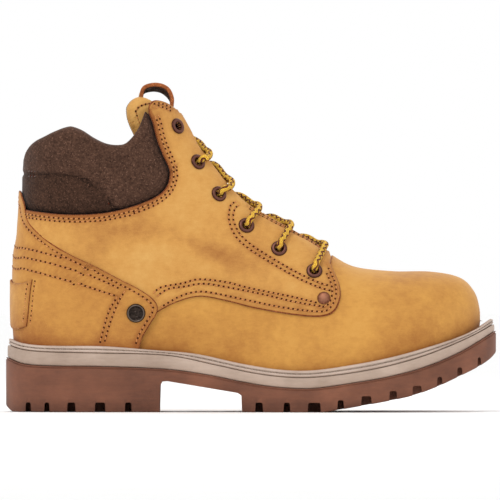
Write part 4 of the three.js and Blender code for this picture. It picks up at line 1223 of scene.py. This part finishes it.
def pull_loop():
    """Leather strap that arches over the top of the tongue, brown suede inside."""
    arch = catmull([(102.9, 189.5), (102.6, 194.1), (100.6, 198.6), (96.8, 201.4), (91.4, 202.8),
                    (86.8, 201.4), (84.3, 198), (83.3, 193), (82.6, 187)], 0.7)
    along = np.gradient(arch, axis=0)
    along /= np.linalg.norm(along, axis=1)[:, None]
    out = np.stack([along[:, 1], -along[:, 0]], 1)
    out *= np.sign(((arch - arch.mean(0)) * out).sum(1))[:, None]
    width = 9.4
    section = [(-width, 0.0), (-width, 0.75), (-width + 0.5, 1.25), (-width / 2, 1.3), (0, 1.35),
               (width / 2, 1.3), (width - 0.5, 1.25), (width, 0.75), (width, 0.0), (width, -0.75),
               (width - 0.5, -1.2), (0, -1.15), (-width + 0.5, -1.2), (-width, -0.75)]
    edge_faces = {0, 1, 6, 7, 8, 9, 12, 13}
    n = len(section)
    verts, faces, kinds = [], [], []
    for i, (p, o) in enumerate(zip(arch, out)):
        for y, h in section:
            wave = 0.25 * math.sin(i * 0.35) * (y / width) ** 2
            lean = -0.17 * y * smooth(188, 200, p[1])
            verts.append((p[0] + o[0] * (h + wave) + 0.4 * lean, y + 0.2 * math.sin(i * 0.21),
                          p[1] + o[1] * (h + wave) + lean - 1.2 * smooth(196, 203, p[1])))
    for i in range(len(arch) - 1):
        for j in range(n):
            k = (j + 1) % n
            faces.append((i * n + j, i * n + k, (i + 1) * n + k, (i + 1) * n + j))
            kinds.append(1 if j in edge_faces else (0 if j < 6 else 2))
    faces += [tuple(range(n))[::-1], tuple(range((len(arch) - 1) * n, len(arch) * n))]
    kinds += [1, 1]
    make("pull_loop_strap", np.array(verts), faces, [NUBUCK_DARK, RAW_EDGE, SUEDE], kinds, body="tongue",
         replaces=["pull_loop"], slot="nubuck_dark", angle=50)


# ---------- inside of the boot ----------
def linings():
    for side, label in SIDES:
        sheet = Sheet("side", side)
        front = sheet.flat(eyestay_front(side, THROAT_U - 0.3, TOP_U, 14.6))
        foot = low_edge(sheet, HEEL_CORNER, THROAT_U - 0.3, 60, 0.02)
        outline = np.vstack([
            rounded(front, on(side, beside(eyestay_top, -1.8)[::-1])),
            on(side, collar_edge[::-1])[1:-1],
            low_edge(sheet, back_u(126), HEEL_CORNER), foot[1:]])
        leather(f"quarter_{label}_lining", sheet, outline, DEPTH["lining"], [LINING, LINING],
                da=0.2, dw=0.05, replaces=[f"quarter_lining_{label}"], slot="lining_fabric")


# ---------- fastenings ----------
EYELETS = [(191.4, 87.8), (169.6, 101.6), (149.5, 115.8), (132.6, 135.3), (119.7, 155.1), (107.2, 177.2)]
EYELET_HOLE = 2.7
EYELET_HEIGHT = 2.75  # the height at which an eyelet's place was read off
RIVET = (197.0, 70.9)
STUD = (81.0, 61.1)


def turned(name, side, spot, outline, material, segments=40, **settings):
    """A turned piece standing on the leather; outline gives radius and height above the base surface."""
    u, v = aim(side, [spot], max(h for _, h in outline) - 0.5)[0]
    centre = surface(side, u, v)
    axis = normal_at(side, np.array(u), np.array(v))
    across = np.cross(axis, (0, 0, 1.0))
    across /= np.linalg.norm(across)
    up = np.cross(axis, across)
    points = catmull(outline, 0.35)
    points[:, 0] = np.maximum(points[:, 0], 0)
    verts, faces = [], []
    for k in range(segments):
        turn = 2 * math.pi * k / segments
        ray = across * math.cos(turn) + up * math.sin(turn)
        verts += [centre + ray * r + axis * h for r, h in points]
    n = len(points)
    closed = np.allclose(points[0], points[-1])
    for k in range(segments):
        m = (k + 1) % segments
        for i in range(n - 1):
            faces.append((k * n + i, m * n + i, m * n + i + 1, k * n + i + 1))
    verts = np.array(verts)
    mesh_tint = np.tile(clamp01((points[:, 1] - points[:, 1].max() + 0.5) / 0.5) * 0.8, segments)
    obj = make(name, verts, faces, [material], tint=mesh_tint, **settings)
    tidy(obj, not closed)
    return obj


def tidy(obj, fill=False):
    """Merges doubled points and points the faces outward, and fills holes if asked."""
    work = bmesh.new()
    work.from_mesh(obj.data)
    bmesh.ops.remove_doubles(work, verts=work.verts, dist=1e-6)
    if fill:
        bmesh.ops.holes_fill(work, edges=[e for e in work.edges if e.is_boundary], sides=0)
    bmesh.ops.recalc_face_normals(work, faces=work.faces)
    work.to_mesh(obj.data)
    work.free()


def hardware():
    flange = [(2.5, -3.1), (2.5, 2.2), (2.75, 2.95), (3.3, 3.25), (4.1, 3.15), (4.75, 2.75), (5.0, 2.15),
              (4.2, 2.05), (3.3, 2.0), (3.15, 0.0), (3.15, -2.8), (3.6, -3.1), (2.5, -3.1)]
    for side, label in SIDES:
        for i, spot in enumerate(EYELETS):
            turned(f"eyelet_ring_{label}_{i + 1}", side, spot, flange, COPPER,
                   replaces=[f"eyelet_{label}_{i + 1}"], slot="eyelet")
        dome = [(0, 3.5), (1.4, 3.45), (2.8, 3.15), (3.5, 2.85), (3.9, 2.4), (3.9, 2.05), (1.8, 2.0),
                (1.8, -1.6), (0, -1.6)]
        turned(f"rivet_head_{label}", side, RIVET, dome, BRONZE, replaces=[f"rivet_{label}"], slot="rivet")
    rim = [(0, 5.1), (1.0, 5.05), (1.5, 4.7), (1.9, 4.7), (2.4, 5.05), (3.3, 5.0), (3.8, 4.85), (4.3, 5.25),
           (4.8, 5.7), (5.3, 5.5), (5.6, 4.9), (5.6, 4.1), (2.2, 4.0), (2.2, -1.1), (0, -1.1)]
    turned("stud_button", LATERAL, STUD, rim, GUNMETAL, 56, replaces=["stud"], slot="stud")


# ---------- lace ----------
# Depth of the lace's centre line: behind the eyestay, where two strands cross, and in its tucked ends
INSIDE, UPPER_STRAND, LOWER_STRAND, TAIL_DEPTH = -5.4, 0.9, -2.8, -6.0
LACE_RADIUS = 2.0
LACE_STEP = 0.55
LACE_SIDES = 16
WEAVE_RATE = 2.7  # turns of the braid's ribs, in radians per millimetre
TAIL = [(106, 167), (109.5, 156), (115.5, 145), (124, 131), (134, 118.5), (144.5, 108.5), (153, 101),
        (155.5, 96.5), (152, 93.5), (145, 97), (134.5, 106.5), (123.5, 119), (114, 133), (106.5, 147)]


def by_eyelet(side, row_number, towards_ridge, depth):
    u, v = locate([EYELETS[row_number]])[0]
    speed = np.linalg.norm(surface(side, u, v + 0.02) - surface(side, u, v - 0.02)) / 0.04
    return layer_point(side, u, v + towards_ridge / speed, depth)


def crossing(side, n):
    """One strand: out of an eyelet, over the ridge and in under the next one on the other side."""
    here, there = locate([EYELETS[n], EYELETS[n + 1]])
    centre = UPPER_STRAND if side == LATERAL else LOWER_STRAND

    def at(which, step, distance, depth):
        u = mix(here[0], there[0], step)
        return layer_point(which, u, v_at_offset(which, u, distance), depth)

    route = [
        by_eyelet(side, n, 0, -2.4), by_eyelet(side, n, 0, 2.2), by_eyelet(side, n, 0.2, 4.2),
        by_eyelet(side, n, 1.8, 5.5), at(side, -0.05, 20, 5.0), at(side, -0.06, 16, 4.6),
        at(side, 0.0, 12.5, 4.2), at(side, 0.14, 7.5, mix(2.6, centre, 0.6)), at(side, 0.45, 0.01, centre),
        at(-side, 0.66, 7.5, mix(centre, INSIDE, 0.5)), at(-side, 0.8, 13, INSIDE),
        by_eyelet(-side, n + 1, 4.4, INSIDE)]
    if n < 4:
        route += [by_eyelet(-side, n + 1, 1.5, INSIDE + 0.1), by_eyelet(-side, n + 1, 0.2, -4)]
    return route


def lace_half(first):
    points, side = [], first
    for n in range(5):
        points += crossing(side, n)
        side = -side
    uv = locate(TAIL[:-1])
    return points + list(layer_point(side, uv[:, 0], uv[:, 1], TAIL_DEPTH))


def lace():
    into = lambda side: [by_eyelet(side, 0, 0.2, -4), by_eyelet(side, 0, 1.5, INSIDE + 0.1),
                         by_eyelet(side, 0, 6, INSIDE)]
    u = float(locate([EYELETS[0]])[0, 0])
    middle = [layer_point(side, u, v_at_offset(side, u, 12), INSIDE) for side in (LATERAL, MEDIAL)]
    route = lace_half(LATERAL)[::-1] + into(LATERAL) + middle + into(MEDIAL)[::-1] + lace_half(MEDIAL)
    line = catmull([np.asarray(p).ravel() for p in route], 1.2)
    for _ in range(3):
        line[1:-1] = (line[:-2] + 2 * line[1:-1] + line[2:]) / 4
    length = lengths(line)
    line = pick(line, length, np.arange(0, length[-1], LACE_STEP))
    tangent = np.gradient(line, axis=0)
    tangent /= np.linalg.norm(tangent, axis=1)[:, None]
    across = np.cross((0, 0, 1.0), tangent[0])
    verts, uv = [], []
    for i, (p, t) in enumerate(zip(line, tangent)):
        across = across - t * (across @ t)
        across /= np.linalg.norm(across)
        up = np.cross(t, across)
        rib = i * LACE_STEP * WEAVE_RATE
        for k in range(LACE_SIDES + 1):
            turn = 2 * math.pi * k / LACE_SIDES
            weave = 0.07 * math.sin(rib + 3 * turn) * math.sin(rib - 3 * turn)
            r = LACE_RADIUS * (1 + weave)
            verts.append(p + across * r * math.cos(turn) + up * r * math.sin(turn))
            uv.append((i * LACE_STEP, k / LACE_SIDES))
    ring = LACE_SIDES + 1
    faces = [(i * ring + k, i * ring + k + 1, (i + 1) * ring + k + 1, (i + 1) * ring + k)
             for i in range(len(line) - 1) for k in range(LACE_SIDES)]
    make("bootlace", np.array(verts), faces, [LACE], uv=uv, replaces=["lace"], slot="lace", angle=80)


# ---------- bottom unit ----------
def sole_ring(inset, height, n=150):
    """Closed line of the sole's plan at an inset; height is a function of x."""
    s = (1 - np.cos(np.pi * np.arange(n + 1) / n)) / 2
    x = mix(inset, LENGTH - inset, s)
    outer = centre_line(x) - sole_half(LATERAL, x, inset)
    inner = centre_line(x) + sole_half(MEDIAL, x, inset)
    x = np.r_[x, x[::-1][1:-1]]
    y = np.r_[outer, inner[::-1][1:-1]]
    return np.stack([x, y, height(x)], 1)


def ring_mesh(rings, closed=False):
    """Quads between rings; closed joins the last to the first, else both ends are capped."""
    n = len(rings[0])
    verts = np.vstack(rings)
    faces = []
    for r in range(len(rings) if closed else len(rings) - 1):
        q = (r + 1) % len(rings)
        for i in range(n):
            j = (i + 1) % n
            faces.append((r * n + i, r * n + j, q * n + j, q * n + i))
    if not closed:
        for r, flip in ((0, True), (len(rings) - 1, False)):
            for i in range(n // 2):
                a, b, c, d = i, i + 1, (n - i - 1) % n, (n - i) % n
                quad = list(dict.fromkeys(r * n + k for k in (a, b, c, d)))
                faces.append(tuple(quad[::-1] if flip else quad))
    return verts, faces


SLOT_DEPTH = 16  # how far the slots run in from the edge
HEEL_SLOTS = [(12.8, 15.8), (24.5, 27.3), (38.7, 43.4), (55.8, 61.9), (74.4, 78.1)]
FOREFOOT_SLOTS = [(155, 159.3), (172.5, 176.1), (187.5, 195), (205.7, 209.3), (220.4, 226.4),
                  (237.8, 242.1), (252.1, 257.4), (267.4, 270.3), (279.9, 282.8), (292.7, 294.5)]


def cutter(outline, y0, y1, verts, faces):
    """Adds a prism across the boot to a set of cutters."""
    start, n = len(verts), len(outline)
    verts += [(x, y0, z) for x, z in outline] + [(x, y1, z) for x, z in outline]
    faces += [tuple(start + i for i in range(n))[::-1], tuple(start + n + i for i in range(n))]
    faces += [(start + i, start + (i + 1) % n, start + n + (i + 1) % n, start + n + i) for i in range(n)]


def outsole():
    top = lambda x: outsole_top(x) - GAP
    rings = [sole_ring(1.2, tread), sole_ring(0.35, lambda x: tread(x) + 0.35),
             sole_ring(0.0, lambda x: tread(x) + 1.1)]
    rings += [sole_ring(0.0, lambda x, k=k: mix(tread(x) + 1.1, top(x) - 1.6, k)) for k in (0.3, 0.65, 1.0)]
    rings += [sole_ring(0.55, lambda x: top(x) - 1.2), sole_ring(0.55, lambda x: top(x) - 0.8),
              sole_ring(0.1, lambda x: top(x) - 0.5), sole_ring(0.5, top)]
    verts, faces = ring_mesh(rings)
    body = make("outsole_tread", verts, faces, [OUTSOLE], replaces=["outsole"], slot="outsole_rubber",
                angle=35)
    tidy(body)
    cv, cf = [], []
    cutter([(95.4, -5), (96, 16.6), (97.4, 18.9), (100.4, 19.2), (144, 11.9), (146.2, 10.4), (146.8, -5)],
           -80, 80, cv, cf)
    for x0, x1 in HEEL_SLOTS + FOREFOOT_SLOTS:
        z = float(tread(x0))
        flare = [(x0 - 0.7, z - 6), (x0 - 0.3, z + 0.4), (x0, z + 5.2), (x0 + 0.6, z + 6), (x1 - 0.6, z + 6),
                 (x1, z + 5.2), (x1 + 0.3, z + 0.4), (x1 + 0.7, z - 6)]
        for side in (LATERAL, MEDIAL):
            edge = float(centre_line(x0) + side * (sole_half(side, x0) - SLOT_DEPTH))
            y0, y1 = sorted((edge, side * 80.0))
            cutter(flare, y0, y1, cv, cf)
    for x0, x1 in zip([20, 32, 48, 66], [26, 38, 54, 72]):
        cutter([(x0, -4), (x0, 3.5), (x1, 3.5), (x1, -4)], -9, 9, cv, cf)
    for i in range(8):
        x = 163 + 15.5 * i
        z = float(tread(x))
        cutter([(x, z - 5), (x, z + 3.6), (x + 6.5, z + 4.2), (x + 6.5, z - 5)], -12 + 0.6 * i, 18 + 0.6 * i,
               cv, cf)
    tool = make("cutters", np.array(cv), cf, [OUTSOLE])
    tidy(tool)
    for obj in (body, tool):
        obj.data.attributes.remove(obj.data.attributes["tint"])
    boolean = body.modifiers.new("cut", "BOOLEAN")
    boolean.operation, boolean.object, boolean.solver = "DIFFERENCE", tool, "EXACT"
    boolean.use_self = True
    bevel = body.modifiers.new("soft", "BEVEL")
    bevel.width, bevel.segments, bevel.limit_method = 0.45 * MM, 2, "ANGLE"
    bevel.angle_limit = math.radians(50)
    graph = bpy.context.evaluated_depsgraph_get()
    mesh = bpy.data.meshes.new_from_object(body.evaluated_get(graph), depsgraph=graph)
    body.modifiers.clear()
    body.data = mesh
    bpy.data.objects.remove(tool)
    mesh.polygons.foreach_set("use_smooth", np.ones(len(mesh.polygons), bool))
    heights = np.array([v.co[:] for v in mesh.vertices])
    shade = 0.5 + 0.1 * fuzz(heights / MM, 14, 2) - 0.2 * (heights[:, 2] / MM < 6)
    mesh.attributes.new("tint", "FLOAT", "POINT").data.foreach_set("value", shade.astype(np.float32))
    mesh.set_sharp_from_angle(angle=math.radians(38))


GROOVE = 0.51  # share of the welt's height at which its stitched groove runs
WELT_PITCH = 3.6


def midsole_and_welt():
    low, high = lambda x: outsole_top(x) + GAP, lambda x: midsole_top(x) - GAP
    layer = lambda k, drop=0.0: (lambda x: mix(low(x), high(x), k) + drop)
    rings = [sole_ring(2.4, layer(0)), sole_ring(1.3, layer(0, 0.35)), sole_ring(1.0, layer(0, 1.1)),
             sole_ring(0.95, layer(0.5)), sole_ring(1.05, layer(1, -1.1)), sole_ring(1.4, layer(1, -0.35)),
             sole_ring(2.6, layer(1))]
    verts, faces = ring_mesh(rings)
    tint = 0.5 + 0.12 * fuzz(verts, 24, 3) - 0.12 * smooth(120, 40, verts[:, 0])
    tidy(make("midsole_band", verts, faces, [MIDSOLE], replaces=["midsole"], slot="midsole_rubber",
              tint=tint, angle=60))
    # Inset from the sole's edge, and share of the height from the midsole to the top of the bead
    section = [(5.2, 0.02), (2.9, 0.02), (2.1, 0.1), (1.75, 0.2), (1.75, 0.34), (2.1, 0.42), (2.9, 0.47),
             (2.9, 0.55), (2.1, 0.6), (1.75, 0.68), (1.8, 0.82), (2.3, 0.93), (3.2, 0.99), (4.3, 1.0),
             (5.4, 0.97), (6.6, 0.86), (7.2, 0.6), (7.2, 0.1)]
    rings = [sole_ring(inset, lambda x, k=k: mix(midsole_top(x) + GAP, bead_top(x), k))
             for inset, k in section]
    verts, faces = ring_mesh(rings, closed=True)
    level = np.repeat([k for _, k in section], len(rings[0]))
    # Painted shade: darker in the stitched groove.
    tint = 0.5 + 0.12 * fuzz(verts, 20, 5) - 0.35 * np.exp(-((level - GROOVE) / 0.05) ** 2)
    tidy(make("storm_welt", verts, faces, [WELT], replaces=["welt"], slot="welt_rubber", tint=tint,
              angle=60))
    line = sole_ring(2.35, lambda x: mix(midsole_top(x), bead_top(x), GROOVE), 400)
    line = np.vstack([line, line[:1]])
    length = lengths(line)
    centre = pick(line, length, np.arange(0, length[-1], WELT_PITCH))
    along = np.roll(centre, -1, axis=0) - np.roll(centre, 1, axis=0)
    along /= np.linalg.norm(along, axis=1)[:, None]
    out = np.cross(along, (0, 0, 1.0))
    shape, quads = CAPSULE
    verts, faces = [], []
    for c, t, o in zip(centre, along, out):
        start = len(verts)
        verts += list(c + shape[:, :1] * t * 2.7 + shape[:, 1:2] * o * 0.35
                      + shape[:, 2:] * np.array([0, 0, 0.35]))
        faces += [tuple(start + q) for q in quads]
    make("welt_stitches", np.array(verts), faces, [THREAD_GREY], slot="welt_rubber")


def footbed():
    low = lambda x: midsole_top(x) + 5.7
    high = lambda x: midsole_top(x) + 10.2
    rings = [sole_ring(inset, lambda x, face=face, rise=rise: face(x) + rise)
             for inset, face, rise in ((13.5, low, 0), (11.6, low, 0.6), (11.2, low, 2), (11.4, high, -0.6),
                                       (12.4, high, 0), (15.5, high, -0.5), (20, high, -1.0))]
    verts, faces = ring_mesh(rings)
    bed = make("footbed_cushion", verts, faces, [FOOTBED], replaces=["footbed"], slot="footbed", angle=60)
    tidy(bed)


upper()
heel_patch()
collar()
linings()
tongue()
pull_loop()
hardware()
lace()
outsole()
midsole_and_welt()
footbed()

# CAD solids that stay: hidden inside, or seen only through the collar
for nodes, material in ((["shank", "toe_cap"], STEEL), (["filler"], FOAM),
                        (["insole_board", "heel_stiffener"], BOARD),
                        (["toe_cap_strip", "vamp_lining"], LINING),
                        (["aglet_lateral", "aglet_medial"], PLASTIC),
                        (["eyestay_reinforcement_lateral", "eyestay_reinforcement_medial"], NUBUCK_DARK)):
    for name in nodes:
        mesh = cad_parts[name].data
        mesh.materials.clear()
        mesh.materials.append(material)

# ---------- floor, light and camera ----------
floor_mesh = bpy.data.meshes.new("floor")
REACH = 12.0
floor_mesh.from_pydata([(-REACH, -REACH, 0), (REACH, -REACH, 0), (REACH, REACH, 0), (-REACH, REACH, 0)], [],
                       [(0, 1, 2, 3)])
floor = bpy.data.objects.new("floor", floor_mesh)
bpy.context.scene.collection.objects.link(floor)
pale = Look("floor_paper", roughness=0.9, level=0.2)
pale.colour(pale.ramp(pale.noise(60, 3), [(0.3, srgb(253, 253, 252)), (0.7, srgb(254, 254, 254))]))
floor_mesh.materials.append(pale.material)

world = bpy.data.worlds.new("studio")
bpy.context.scene.world = world
world.use_nodes = True
background = world.node_tree.nodes["Background"].inputs
background["Color"].default_value = (1.0, 1.0, 1.0, 1.0)
background["Strength"].default_value = 1.0


def lamp(name, location, target, size, watts):
    light = bpy.data.lights.new(name, "AREA")
    light.shape, light.size, light.energy = "DISK", size, watts
    obj = bpy.data.objects.new(name, light)
    obj.location = location
    obj.rotation_euler = (Vector(target) - Vector(location)).to_track_quat("-Z", "Y").to_euler()
    bpy.context.scene.collection.objects.link(obj)


lamp("key", (-0.45, -1.0, 1.3), (0, 0, 0.08), 0.6, 6.0)
lamp("fill", (0.9, -1.2, 0.5), (0, 0, 0.08), 1.0, 1.0)
lamp("back", (0.2, 1.2, 1.1), (0, 0, 0.1), 0.9, 4)

camera_data = bpy.data.cameras.new("camera")
camera = bpy.data.objects.new("camera", camera_data)
bpy.context.scene.collection.objects.link(camera)
# Metres: how far off the camera is, the width it sees, and the middle of what it sees
DISTANCE, SEEN, AIM_X, AIM_HEIGHT = 8.0, 0.3106, -0.0007, 0.1003
SENSOR = 36
camera_data.sensor_width = SENSOR
camera_data.lens = SENSOR * DISTANCE / SEEN
camera.location = (AIM_X, -DISTANCE, AIM_HEIGHT)
camera.rotation_euler = (math.pi / 2, 0, 0)
bpy.context.scene.camera = camera
bpy.context.scene.view_settings.view_transform = "Standard"
